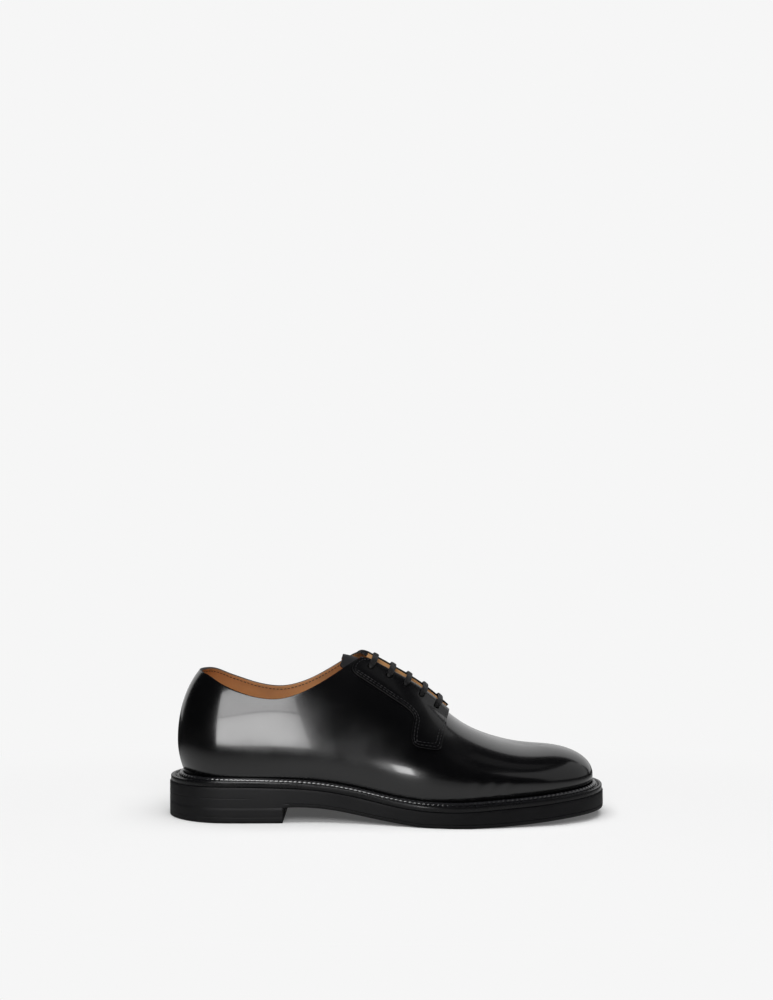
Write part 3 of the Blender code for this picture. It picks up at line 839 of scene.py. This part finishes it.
class DerbyFinish(bpy.types.PropertyGroup):
    """The colours of the shoe's materials."""

    leather: FloatVectorProperty(
        name="Leather", description="Polished black leather", default=(0.0022, 0.0022, 0.0025),
        subtype="COLOR",
    )
    tongue: FloatVectorProperty(
        name="Tongue", description="Dull leather of the tongue", default=(0.008, 0.008, 0.0088),
        subtype="COLOR",
    )
    lining: FloatVectorProperty(
        name="Lining", description="Tan lining leather", default=(0.78, 0.42, 0.18), subtype="COLOR"
    )
    rubber: FloatVectorProperty(
        name="Rubber", description="Black rubber of sole, heel and welt", default=(0.0052, 0.0052, 0.0058),
        subtype="COLOR",
    )
    thread: FloatVectorProperty(
        name="Thread", description="Sewing thread", default=(0.011, 0.011, 0.012), subtype="COLOR"
    )
    lace: FloatVectorProperty(
        name="Lace", description="Cotton of the lace", default=(0.0034, 0.0032, 0.0035), subtype="COLOR"
    )


class DerbyStudio(bpy.types.PropertyGroup):
    """The camera's place and the studio's brightness."""

    camera_distance: FloatProperty(
        name="Camera distance", description="From the shoe's middle plane", default=1.0, unit="LENGTH"
    )
    camera_height: FloatProperty(
        name="Camera height", description="Above the floor, looking level", default=0.2182, unit="LENGTH"
    )
    focal_length: FloatProperty(
        name="Focal length", description="In millimetres, on a sensor 36 mm long", default=51.5
    )
    backdrop: FloatVectorProperty(
        name="Backdrop", description="Colour of floor and backdrop", default=(0.922, 0.922, 0.922),
        subtype="COLOR",
    )


# A row of points round a sole layer: a share of the way to its edge, less an inset, and a rise over a level
SoleRow = namedtuple("SoleRow", "level share inset rise")


def flat_rows(level, shares, rise=0.0):
    """Rows across the top or the underside of a layer."""
    return [SoleRow(level, share, 0.0, rise) for share in shares]


def edge_rows(level, *spots):
    """Rows round the edge of a layer, each with its inset and rise."""
    return [SoleRow(level, 1.0, inset, rise) for inset, rise in spots]


def sole_side(side, stations, rows, kind, levels):
    """Points of one side of a sole layer, from its top's middle over its edge to its underside's middle."""
    patch = []
    for row in rows:
        distance = reach(side, stations, kind) * row.share
        inset = row.inset(x_at(side, stations)) if callable(row.inset) else row.inset
        x, y = plan(side, stations, distance - inset)
        patch.append(np.stack((x, y, levels[row.level](x) + row.rise), axis=-1))
    return np.array(patch).transpose(1, 0, 2)[:, ::-1]


def layer_of(rows, stations, kind, levels, cut_off=False):
    """A closed sole layer over both sides; one that is cut off straight gets a flat front."""
    shape = skin(*both_sides(lambda side: sole_side(side, stations, rows, kind, levels)))
    if cut_off:
        bmesh.ops.holes_fill(shape, edges=shape.edges, sides=0)
    bmesh.ops.recalc_face_normals(shape, faces=shape.faces)
    return shape


def x_at(side, stations):
    """The x of the sole's edge at these stations."""
    return plan(side, stations, reach(side, stations, "sole"))[0]


def tread_height(x):
    """The underside, taken down onto the heel behind its breast."""
    return np.where(x < HEEL_BREAST_X, HEEL_HEIGHT, np.maximum(TREAD(x), 0.0))


def lip(depth):
    """A groove's depth along the sole in front of the heel."""
    return lambda x: depth * smooth_step((x - HEEL_BREAST_X) / 6)


def heel_line(x):
    """The depth of the faint moulded line round the rear of the sole."""
    return 0.12 * smooth_step((-88 - x) / 14)


class DERBY_OT_outsole(bpy.types.Operator):
    """Build the outsole with its side line, its lip and its rounded edges"""

    bl_idname = "derby.outsole"
    bl_label = "Outsole"

    def execute(self, context):
        levels = {"seat": SEAT, "tread": tread_height}
        levels["line"] = lambda x: tread_height(x) + 0.46 * (SEAT(x) - tread_height(x))
        rows = flat_rows("seat", (0.0, 0.3, 0.6, 0.85))
        rows += edge_rows("seat", (0.5, 0.0), (0.14, -0.12), (0.0, -0.5), (0.0, -1.6), (0.0, -3.0))
        rows += edge_rows("line", (0.0, 0.7), (0.0, 0.3), (heel_line, 0.12), (heel_line, -0.12))
        rows += edge_rows("line", (0.0, -0.3), (0.0, -0.7))
        rows += edge_rows("tread", (0.0, 3.4), (0.0, 2.9), (lip(0.3), 2.75), (lip(0.3), 2.55))
        rows += edge_rows("tread", (0.0, 2.4), (0.0, 2.0), (0.0, 1.0), (lip(0.3), 0.3), (lip(1.0), 0.0))
        rows += flat_rows("tread", (0.94, 0.86, 0.72, 0.56, 0.4, 0.24, 0.1, 0.0))
        shape = layer_of(rows, even_stations(SOLE_COLUMNS), "sole", levels)
        piece("outsole_rubber", shape, [finish_of("moulded_rubber")], ["outsole"])
        return {"FINISHED"}


class DERBY_OT_heel(bpy.types.Operator):
    """Build the heel block under the rear of the outsole"""

    bl_idname = "derby.heel"
    bl_label = "Heel"

    def execute(self, context):
        levels = {"top": lambda x: np.full_like(x, HEEL_HEIGHT - 0.04), "floor": lambda x: np.zeros_like(x)}
        stations = even_stations(90, 0.0, float(station_of(HEEL_BREAST_X)))
        rows = flat_rows("top", (0.0, 0.5, 0.9))
        rows += edge_rows("top", (0.1, 0.0), (0.0, -0.1), (0.0, -2.0), (0.0, -4.0), (0.0, -5.6))
        rows += edge_rows("floor", (0.0, 4.4), (0.1, 4.2), (0.1, 4.0), (0.0, 3.8), (0.0, 3.4), (0.0, 2.0))
        rows += edge_rows("floor", (0.0, 0.9), (0.3, 0.25), (0.9, 0.0))
        rows += flat_rows("floor", (0.9, 0.6, 0.3, 0.0))
        shape = layer_of(rows, stations, "sole", levels, cut_off=True)
        item = piece("heel_rubber", shape, [finish_of("moulded_rubber")], ["heel"])
        round_edges(item, 0.5, 60)
        return {"FINISHED"}


class DERBY_OT_insole(bpy.types.Operator):
    """Build the footbed inside the upper"""

    bl_idname = "derby.insole"
    bl_label = "Insole"

    def execute(self, context):
        top = GAP + INSOLE_THICK
        inset = UPPER_WALL + GAP + 0.2
        dished = ((0.0, 0.7), (0.25, 0.65), (0.5, 0.5), (0.75, 0.25), (0.9, 0.05))
        rows = [SoleRow("seat", share, inset * share, top - sunk) for share, sunk in dished]
        rows += edge_rows("seat", (inset + 0.5, top), (inset + 0.1, top - 0.25), (inset, top - 0.7))
        rows += edge_rows("seat", (inset, GAP + 0.4), (inset + 0.4, GAP))
        rows += flat_rows("seat", (0.8, 0.4, 0.0), GAP)
        shape = layer_of(rows, even_stations(150), "feather", {"seat": SEAT})
        piece("footbed", shape, [finish_of("tan_lining")], ["insole"])
        return {"FINISHED"}


def bead_width(side, s):
    """The bead takes up to 3 mm of the welt beside the upper."""
    room = reach(side, s, "sole") - WELT_EDGE - reach(side, s, "feather") - GAP
    return np.minimum(3.0, 0.6 * room)


def rim_path(distance, rise, spacing):
    """A closed line round the shoe at a distance from the axes and a height above the sole's top."""
    dense = np.linspace(0, LAST_STATION, 1600)
    line = []
    for side in (LATERAL, MEDIAL):
        x, y = plan(side, dense, distance(side, dense))
        line.append(np.stack((x, y, SEAT(x) + rise), axis=-1))
    path = np.vstack((line[0], line[1][::-1][1:]))
    return evenly(path, spacing, 3)


def ring_frames(path):
    """The outward and upward directions at each point of a nearly level ring."""
    heading = unit(np.roll(path, -1, axis=0) - np.roll(path, 1, axis=0))
    outward = unit(np.cross(heading, UP))
    return outward, np.cross(outward, heading)


class DERBY_OT_welt(bpy.types.Operator):
    """Build the welt's shelf with its stitch groove, and the twisted bead beside the upper"""

    bl_idname = "derby.welt"
    bl_label = "Welt"

    def shelf_side(self, side, stations):
        inner = reach(side, stations, "feather") + GAP
        outer = reach(side, stations, "sole") - WELT_EDGE
        bead = bead_width(side, stations)
        shelf = outer - inner - bead
        rows = (
            (inner, GAP), (inner, 2.6), (inner + 0.3, 3.0), (inner + bead, 3.0), (inner + bead + 0.2, 3.7),
            (inner + bead + 0.12 * shelf, 4.0), (inner + bead + 0.28 * shelf, 4.0),
            (inner + bead + 0.36 * shelf, 3.55), (inner + bead + 0.54 * shelf, 3.55),
            (inner + bead + 0.62 * shelf, 4.0), (outer - 0.6, 4.0), (outer - 0.15, 3.85), (outer, 3.4),
            (outer, 0.6), (outer - 0.2, GAP), (inner, GAP),
        )
        patch = []
        for distance, rise in rows:
            x, y = plan(side, stations, distance)
            patch.append(np.stack((x, y, SEAT(x) + rise), axis=-1))
        return np.array(patch).transpose(1, 0, 2)

    def bead_distance(self, side, s):
        return reach(side, s, "feather") + GAP + 0.58 * bead_width(side, s)

    def execute(self, context):
        sizes = context.scene.derby_sizes
        stations = even_stations(SOLE_COLUMNS)
        shape = skin(*both_sides(lambda side: self.shelf_side(side, stations)))
        bmesh.ops.recalc_face_normals(shape, faces=shape.faces)
        piece("welt_shelf", shape, [finish_of("smooth_rubber")], ["welt"], sharp=40)
        path = rim_path(self.bead_distance, BEAD_RISE, BEAD_SPACING)[:-1]
        outward, upward = ring_frames(path)
        turns = round(len(path) * BEAD_SPACING * MM / sizes.bead_pitch)
        twist = pi * turns * np.arange(len(path)) / len(path)
        angle = np.linspace(0, 2 * pi, 12, endpoint=False)
        lobes = 1.22 + 0.42 * np.abs(np.cos(angle[None, :] - twist[:, None]))
        spokes = np.cos(angle)[None, :, None] * outward[:, None]
        spokes = spokes + np.sin(angle)[None, :, None] * upward[:, None]
        shape = swept(path, spokes * lobes[:, :, None], closed=True)
        piece("welt_bead", shape, [finish_of("bead_rubber")], ["welt"], sharp=180)
        return {"FINISHED"}


class DERBY_OT_upper(bpy.types.Operator):
    """Build the upper as one polished wall with its tan lining"""

    bl_idname = "derby.upper"
    bl_label = "Upper"

    def execute(self, context):
        stations = even_stations(context.scene.derby_sizes.upper_columns)
        shape = skin(*both_sides(lambda side: upper_side(side, stations)))
        spots = [spot for row in eyelet_places() for spot in row.values()]
        punch_eyelets(shape, spots, [0.0] * len(spots))
        item = piece(
            "upper_leather", shape,
            [finish_of("polished_leather"), finish_of("tan_lining"), finish_of("dull_leather")],
            ["upper"], sharp=60,
        )
        thicken(item, UPPER_WALL, -1.0, 0.5, inner_material=1, rim_material=2)
        return {"FINISHED"}


def throat_strip(side):
    """Points of the lining seen along the throat, from under the upper to just below the facing's edge."""
    x = np.linspace(-13.0, 40.4, 90)[:, None]
    across = np.full_like(x, side * (THROAT_HALF - 0.25))
    top = GAP + 0.1 + lift(x, np.full_like(x, THROAT_HALF))
    out = -UPPER_WALL - 0.6 + (top + UPPER_WALL + 0.6) * np.linspace(0, 1, 8)[None, :]
    return INSTEP.laid(x, across, out)


class DERBY_OT_facings(bpy.types.Operator):
    """Build the two lacing facings with their eyelets, and the lining's edge along the throat"""

    bl_idname = "derby.facings"
    bl_label = "Facings"

    def execute(self, context):
        rim = facing_rim()
        share = np.linspace(0, 1, 44)[None, :, None]
        outer = rim[:, None, :2]
        inner = np.stack((rim[:, 2], np.full(len(rim), THROAT_HALF)), axis=-1)[:, None, :]
        flat = inner + (outer - inner) * share
        for side, name in ((LATERAL, "lateral"), (MEDIAL, "medial")):
            x = flat[:, :, 0]
            across = side * flat[:, :, 1]
            points = INSTEP.laid(x, across, GAP + lift(x, across))
            shape = skin(points if side == MEDIAL else points[::-1])
            spots = [row[side] for row in eyelet_places()]
            punch_eyelets(shape, spots, [GAP + lift(*spot) for spot in spots])
            item = piece(
                "facing_" + name + "_leather", shape,
                [finish_of("polished_leather"), finish_of("dull_leather")], ["facing_" + name],
                sharp=60,
            )
            thicken(item, FACING_THICK, 1.0, 0.4, inner_material=1, rim_material=1)
        strips = skin(throat_strip(LATERAL), throat_strip(MEDIAL)[::-1])
        item = piece("throat_lining", strips, [finish_of("tan_lining")], [])
        thicken(item, 0.3, 0.0, 0.1)
        return {"FINISHED"}


def tongue_point(x, across):
    """Points of the tongue, whose free top end bends down from the line of the instep."""
    under_lace = UPPER_WALL + 2 * GAP + LACE_CORE + 0.4
    under_vamp = UPPER_WALL + GAP + 0.1
    depth = under_lace + (under_vamp - under_lace) * smooth_step((x - (THROAT_FRONT_X - 1)) / 12)
    back = np.clip((TONGUE_BEND_X - x) / (TONGUE_BEND_X - TONGUE_TOP_X), 0, 1)
    point = INSTEP.laid(x, across, -depth)
    point[..., 2] -= TONGUE_SAG * back**2
    return point


class DERBY_OT_tongue(bpy.types.Operator):
    """Build the tongue below the throat"""

    bl_idname = "derby.tongue"
    bl_label = "Tongue"

    def execute(self, context):
        along = np.linspace(0, 1, 110)
        x = TONGUE_TOP_X + (TONGUE_FRONT_X - TONGUE_TOP_X) * along
        end = np.minimum(np.minimum((along + 0.05) / 0.17, (1.05 - along) / 0.15), 1.0)
        half = TONGUE_HALF * (1 - 0.28 * along**2) * np.sin(end * pi / 2) ** 0.5
        spread = np.linspace(-1, 1, 48)[None, :]
        hollow = 2.5 * (1 - along[:, None]) ** 8 * (1 - spread**2)
        shape = skin(tongue_point(x[:, None] + hollow, half[:, None] * spread))
        item = piece(
            "tongue_leather", shape, [finish_of("dull_leather"), finish_of("tan_lining")], ["tongue"],
            sharp=60,
        )
        thicken(item, TONGUE_THICK, -1.0, 0.6, inner_material=1)
        return {"FINISHED"}


LacePoint = namedtuple("LacePoint", "x across out flat")
BAR_SHARES = ((0.95, 0.6), (0.84, 1), (0.66, 1), (0.48, 1))  # share of the way to an eyelet, and flatness
LACE_SPACING = 0.55
LACE_SQUARENESS = 3.4


def lace_route():
    """The lace as one line: straight bars over the throat, joined under every other pair of eyelets."""
    over = GAP + FACING_THICK + 1.1
    under = -(UPPER_WALL + GAP + LACE_CORE / 2 + 0.1)
    route = []
    rows = eyelet_places()[::-1]
    for i, row in enumerate(rows):
        side = LATERAL if i % 2 == 0 else MEDIAL
        start_x, start = row[side]
        end_x, end = row[-side]
        near_x, near = row[LATERAL]
        height = INSTEP.laid(near_x, near, 0.0)[2]
        through = ((under, 0), (-0.6, 0), (over - 1.3, 0.1))  # height and flatness in an eyelet
        route += [LacePoint(start_x, start, *spot) for spot in through[0 if i else 1 :]]
        bar = [(start * share, flat) for share, flat in BAR_SHARES]
        bar += [(end * share, flat) for share, flat in BAR_SHARES[::-1]]
        for across, flat in bar:
            route.append(LacePoint(float(bar_x(near_x, height, across)), across, over, flat))
        route += [LacePoint(end_x, end, *spot) for spot in through[:0:-1]]
        if i < len(rows) - 1:
            next_x, following = rows[i + 1][-side]
            route.append(LacePoint(end_x, end, *through[0]))
            for k in (0.25, 0.5, 0.75):
                route.append(LacePoint(end_x + (next_x - end_x) * k, end + (following - end) * k, under, 0))
    return route


class DERBY_OT_lace(bpy.types.Operator):
    """Build the flat woven lace with its five bars"""

    bl_idname = "derby.lace"
    bl_label = "Lace"

    def execute(self, context):
        sizes = context.scene.derby_sizes
        wide = sizes.lace_width / MM / LACE_CORE - 1
        thin = sizes.lace_thickness / MM / LACE_CORE - 1
        rows = []
        for spot in lace_route():
            raised = float(lift(spot.x, spot.across)) if spot.out > 0 else 0.0
            place = INSTEP.laid(spot.x, spot.across, spot.out + raised)
            normal = INSTEP.facing(spot.x, spot.across)
            rows.append((*place, *normal, spot.flat))
        line = evenly(rounded(rows), LACE_SPACING, 3)
        centres = line[:, :3]
        normals = unit(line[:, 3:6])
        heading = unit(np.gradient(centres, axis=0))
        angle = np.linspace(0, 2 * pi, 20, endpoint=False)
        sideways = np.cross(heading[0], UP)
        wide_way = np.array((1.0, 0.0, 0.0))
        spokes = []
        for along, normal, flat in zip(heading, normals, line[:, 6]):
            sideways = sideways - along * np.dot(sideways, along)
            sideways /= np.linalg.norm(sideways)
            ring = np.cos(angle)[:, None] * sideways + np.sin(angle)[:, None] * np.cross(along, sideways)
            level = np.cross(normal, along)
            if np.linalg.norm(level) > 0.3:
                wide_way = level
            wide_way = wide_way - along * np.dot(wide_way, along)
            wide_way /= np.linalg.norm(wide_way)
            thin_way = np.cross(along, wide_way)
            a = ring @ wide_way
            b = ring @ thin_way
            corner = np.abs(a) ** LACE_SQUARENESS + np.abs(b) ** LACE_SQUARENESS + 1e-9
            square = 1 + flat * (corner ** (-1 / LACE_SQUARENESS) - 1)
            ring = ring * square[:, None]
            widened = wide * np.outer(ring @ wide_way, wide_way)
            thinned = thin * np.outer(ring @ thin_way, thin_way)
            spokes.append(LACE_CORE / 2 * (ring + flat * (widened + thinned)))
        run = LACE_SPACING * np.arange(len(centres))
        around = np.linspace(0, 2 * (sizes.lace_width + sizes.lace_thickness) / MM, 21)
        lengths = np.stack(np.broadcast_arrays(run[:, None], around[None, :]), axis=-1)
        shape = swept(centres, np.array(spokes), closed=False, lengths=lengths)
        piece("lace_cotton", shape, [finish_of("woven_lace")], ["lace"], sharp=180)
        return {"FINISHED"}


def add_stitches(shape, line, normals, length, gap, width):
    """A row of stitches along a line: small rounded lengths of thread."""
    run = running_length(line)
    for start in np.arange(gap, run[-1] - length, length + gap):
        first = np.array([np.interp(start, run, line[:, k]) for k in range(3)])
        last = np.array([np.interp(start + length, run, line[:, k]) for k in range(3)])
        normal = np.array([np.interp(start + length / 2, run, normals[:, k]) for k in range(3)])
        along = Vector(last - first).normalized()
        across = Vector(normal).cross(along).normalized()
        up = along.cross(across)
        turn = Matrix((across * width, up * width * 0.8, along * length)).transposed().to_4x4() * MM
        turn[3][3] = 1.0
        turn.translation = Vector((first + last) / 2) * MM
        bmesh.ops.create_uvsphere(shape, u_segments=8, v_segments=6, radius=0.5, matrix=turn)


class DERBY_OT_stitching(bpy.types.Operator):
    """Sew the facings, the collar and the welt"""

    bl_idname = "derby.stitching"
    bl_label = "Stitching"

    def sew_facings(self, shape, length, gap, width):
        """One row along the whole edge and a second inside it, which stops short of both ends."""
        rim = facing_rim()
        for distance, first, last in ((1.5, 0, len(rim)), (3.3, 26, len(rim) - 34)):
            line = inset_line(rim, distance)[first:last]
            for side in (LATERAL, MEDIAL):
                x = line[:, 0]
                across = side * line[:, 1]
                points = INSTEP.laid(x, across, GAP + FACING_THICK + lift(x, across))
                add_stitches(shape, points, INSTEP.facing(x, across), length, gap, width)

    def sew_welt(self, shape):
        """Longer, thicker stitches in the groove of the welt."""

        def groove(side, s):
            inner = reach(side, s, "feather") + GAP
            bead = bead_width(side, s)
            return inner + bead + 0.45 * (reach(side, s, "sole") - WELT_EDGE - inner - bead)

        path = rim_path(groove, 3.7, 0.8)
        normals = np.tile(UP, (len(path), 1))
        add_stitches(shape, path, normals, 3.4, 1.2, 0.9)

    def sew_collar(self, shape, length, gap, width):
        """A row on the lining, 2.2 mm below the collar's edge."""
        for side in (LATERAL, MEDIAL):
            stations = even_stations(200, 0.0, float(station_of(-21.0)))
            line = []
            normals = []
            for s in stations:
                top = top_step(LATERAL if s == 0 else side, s)
                step = np.linspace(top - 0.12, top, 60)
                points = surface(side, s, step)
                down = np.cumsum(np.linalg.norm(np.diff(points[::-1], axis=0), axis=1))
                k = 59 - 1 - int(np.searchsorted(down, 2.2))
                ahead = surface(side, s + 0.02, step[k]) - surface(side, max(s - 0.02, 0.0), step[k])
                normal = np.cross(ahead, points[k + 1] - points[k]) * -side
                normal /= np.linalg.norm(normal)
                line.append(points[k] - normal * (UPPER_WALL + 0.12))
                normals.append(normal)
            add_stitches(shape, np.array(line), np.array(normals), length, gap, width)

    def execute(self, context):
        sizes = context.scene.derby_sizes
        length = sizes.stitch_length / MM
        gap = sizes.stitch_gap / MM
        width = sizes.thread_width / MM
        shape = bmesh.new()
        self.sew_facings(shape, length, gap, width)
        self.sew_collar(shape, length, gap, width)
        self.sew_welt(shape)
        piece("stitches", shape, [finish_of("waxed_thread")], [], sharp=180)
        return {"FINISHED"}


def floor_paper(colour, backdrop):
    """Pale paper: lit beside the shoe, evenly bright farther away, and dark to the gloss that mirrors it."""
    material = bpy.data.materials.new("floor_paper")
    material.use_nodes = True
    tree = material.node_tree
    tree.nodes.clear()
    place = add_node(tree, "ShaderNodeTexCoord").outputs["Object"]
    squeezed = add_node(tree, "ShaderNodeMapping", {"Vector": place, "Scale": (0.6, 1.0, 1.0)})
    far = add_node(tree, "ShaderNodeVectorMath", {0: squeezed.outputs["Vector"]}, operation="LENGTH")
    shares = []
    for near, away, least in ((0.04, 0.3, 0.08), (0.09, 0.27, 0.3)):
        inputs = {"Value": far.outputs["Value"], "From Min": near, "From Max": away, "To Min": least}
        share = add_node(tree, "ShaderNodeMapRange", inputs, interpolation_type="SMOOTHSTEP")
        shares.append(share.outputs["Result"])
    even_share, dark_share = shares
    paper = add_node(tree, "ShaderNodeBsdfDiffuse", {"Color": (*colour, 1.0), "Roughness": 0.6}).outputs[0]
    even = add_node(tree, "ShaderNodeEmission", {"Color": (*backdrop, 1.0), "Strength": 1.0}).outputs[0]
    dark = add_node(tree, "ShaderNodeEmission", {"Color": (*backdrop, 1.0), "Strength": 0.02}).outputs[0]
    seen = add_node(tree, "ShaderNodeMixShader", {0: even_share, 1: paper, 2: even}).outputs[0]
    mirrored = add_node(tree, "ShaderNodeMixShader", {0: dark_share, 1: paper, 2: dark}).outputs[0]
    camera = add_node(tree, "ShaderNodeLightPath").outputs["Is Camera Ray"]
    mixed = add_node(tree, "ShaderNodeMixShader", {0: camera, 1: mirrored, 2: seen}).outputs[0]
    add_node(tree, "ShaderNodeOutputMaterial", {"Surface": mixed})
    return material


# The first two give the soft light and don't show in the gloss; the others are seen only in it. In metres
SoftLight = namedtuple("SoftLight", "name place aim size power gloss_only")
SOFT_LIGHTS = (
    SoftLight("overhead_fill", (0.0, -0.1, 1.5), (0.0, 0.0, 0.0), (1.8, 1.4), 28.5, False),
    SoftLight("front_fill", (0.0, -1.2, 0.9), (0.0, 0.0, 0.05), (1.2, 0.6), 5.5, False),
    SoftLight("backdrop_glow", (0.0, 0.9, 0.45), (0.0, 0.0, 0.45), (2.4, 0.95), 5.0, True),
    SoftLight("overhead_sheen", (0.0, 0.15, 1.2), (0.0, 0.0, 0.0), (1.2, 0.5), 0.2, True),
    SoftLight("toe_card", (0.7, -0.1, 0.4), (0.1, 0.0, 0.05), (1.2, 0.8), 1.3, True),
    SoftLight("window_low", (-0.1135, -0.135, 0.061), (-0.1135, 0.0, 0.061), (0.103, 0.046), 0.128, True),
    SoftLight("window_high", (-0.1135, -0.135, 0.113), (-0.1135, 0.0, 0.113), (0.103, 0.054), 0.11, True),
    SoftLight("small_card", (-0.035, -0.165, 0.018), (0.011, -0.045, 0.034), (0.016, 0.024), 0.023, True),
)


class DERBY_OT_studio(bpy.types.Operator):
    """Set up the floor, the soft lights, the backdrop and the camera"""

    bl_idname = "derby.studio"
    bl_label = "Studio"

    def soft_light(self, lamp):
        light = bpy.data.lights.new(lamp.name, "AREA")
        light.shape = "RECTANGLE"
        light.size, light.size_y = lamp.size
        light.energy = lamp.power
        item = bpy.data.objects.new(lamp.name, light)
        item.visible_camera = False
        item.visible_diffuse = not lamp.gloss_only
        item.visible_glossy = lamp.gloss_only
        item.location = lamp.place
        item.rotation_euler = (Vector(lamp.aim) - Vector(lamp.place)).to_track_quat("-Z", "Y").to_euler()
        collection_of("studio").objects.link(item)

    def backdrop(self, scene, colour):
        """The world is the pale backdrop to the camera and a dim room to everything else."""
        world = bpy.data.worlds.new("studio_room")
        world.use_nodes = True
        tree = world.node_tree
        tree.nodes.clear()
        seen = add_node(tree, "ShaderNodeLightPath").outputs["Is Camera Ray"]
        parts = {0: seen}
        for slot, shade, strength in ((1, (0.9, 0.95, 1.0), 0.006), (2, colour, 1.0)):
            inputs = {"Color": (*shade, 1.0), "Strength": strength}
            parts[slot] = add_node(tree, "ShaderNodeBackground", inputs).outputs[0]
        mixed = add_node(tree, "ShaderNodeMixShader", parts).outputs[0]
        add_node(tree, "ShaderNodeOutputWorld", {"Surface": mixed})
        scene.world = world

    def execute(self, context):
        scene = context.scene
        studio = scene.derby_studio
        colour = tuple(studio.backdrop)
        shape = bmesh.new()
        bmesh.ops.create_grid(shape, x_segments=24, y_segments=24, size=8.0)
        mesh = bpy.data.meshes.new("floor")
        shape.to_mesh(mesh)
        shape.free()
        mesh.materials.append(floor_paper((0.86, 0.86, 0.86), colour))
        floor = bpy.data.objects.new("floor", mesh)
        collection_of("studio").objects.link(floor)
        for lamp in SOFT_LIGHTS:
            self.soft_light(lamp)
        self.backdrop(scene, colour)
        lens = bpy.data.cameras.new("photo_camera")
        lens.lens = studio.focal_length
        lens.sensor_width = 36.0
        camera = bpy.data.objects.new("photo_camera", lens)
        camera.location = (0.0, -studio.camera_distance, studio.camera_height)
        camera.rotation_euler = (pi / 2, 0.0, 0.0)
        collection_of("studio").objects.link(camera)
        scene.camera = camera
        scene.view_settings.view_transform = "Standard"
        return {"FINISHED"}


PIECE_OPERATORS = (
    DERBY_OT_outsole,
    DERBY_OT_heel,
    DERBY_OT_insole,
    DERBY_OT_welt,
    DERBY_OT_upper,
    DERBY_OT_tongue,
    DERBY_OT_facings,
    DERBY_OT_lace,
    DERBY_OT_stitching,
)


class DERBY_PT_shoe(bpy.types.Panel):
    """Lists the shoe's pieces, sizes and colours."""

    bl_label = "Derby shoe"
    bl_space_type = "VIEW_3D"
    bl_region_type = "UI"
    bl_category = "Derby shoe"

    def draw(self, context):
        layout = self.layout
        for operator in (*PIECE_OPERATORS, DERBY_OT_studio):
            layout.operator(operator.bl_idname)
        for settings in (context.scene.derby_sizes, context.scene.derby_finish, context.scene.derby_studio):
            box = layout.box()
            for name in settings.bl_rna.properties.keys():
                if name not in ("rna_type", "name"):
                    box.prop(settings, name)


SETTINGS = {"derby_sizes": DerbySizes, "derby_finish": DerbyFinish, "derby_studio": DerbyStudio}


def register():
    for kind in (*SETTINGS.values(), *PIECE_OPERATORS, DERBY_OT_studio, DERBY_PT_shoe):
        bpy.utils.register_class(kind)
    for name, kind in SETTINGS.items():
        setattr(bpy.types.Scene, name, bpy.props.PointerProperty(type=kind))


def unregister():
    for name in SETTINGS:
        delattr(bpy.types.Scene, name)
    for kind in (DERBY_PT_shoe, DERBY_OT_studio, *PIECE_OPERATORS[::-1], *list(SETTINGS.values())[::-1]):
        bpy.utils.unregister_class(kind)


def main():
    register()
    bpy.ops.derby.studio()
    bpy.ops.derby.outsole()
    bpy.ops.derby.heel()
    bpy.ops.derby.insole()
    bpy.ops.derby.welt()
    bpy.ops.derby.upper()
    bpy.ops.derby.tongue()
    bpy.ops.derby.facings()
    bpy.ops.derby.lace()
    bpy.ops.derby.stitching()


if __name__ == "__main__":
    main()
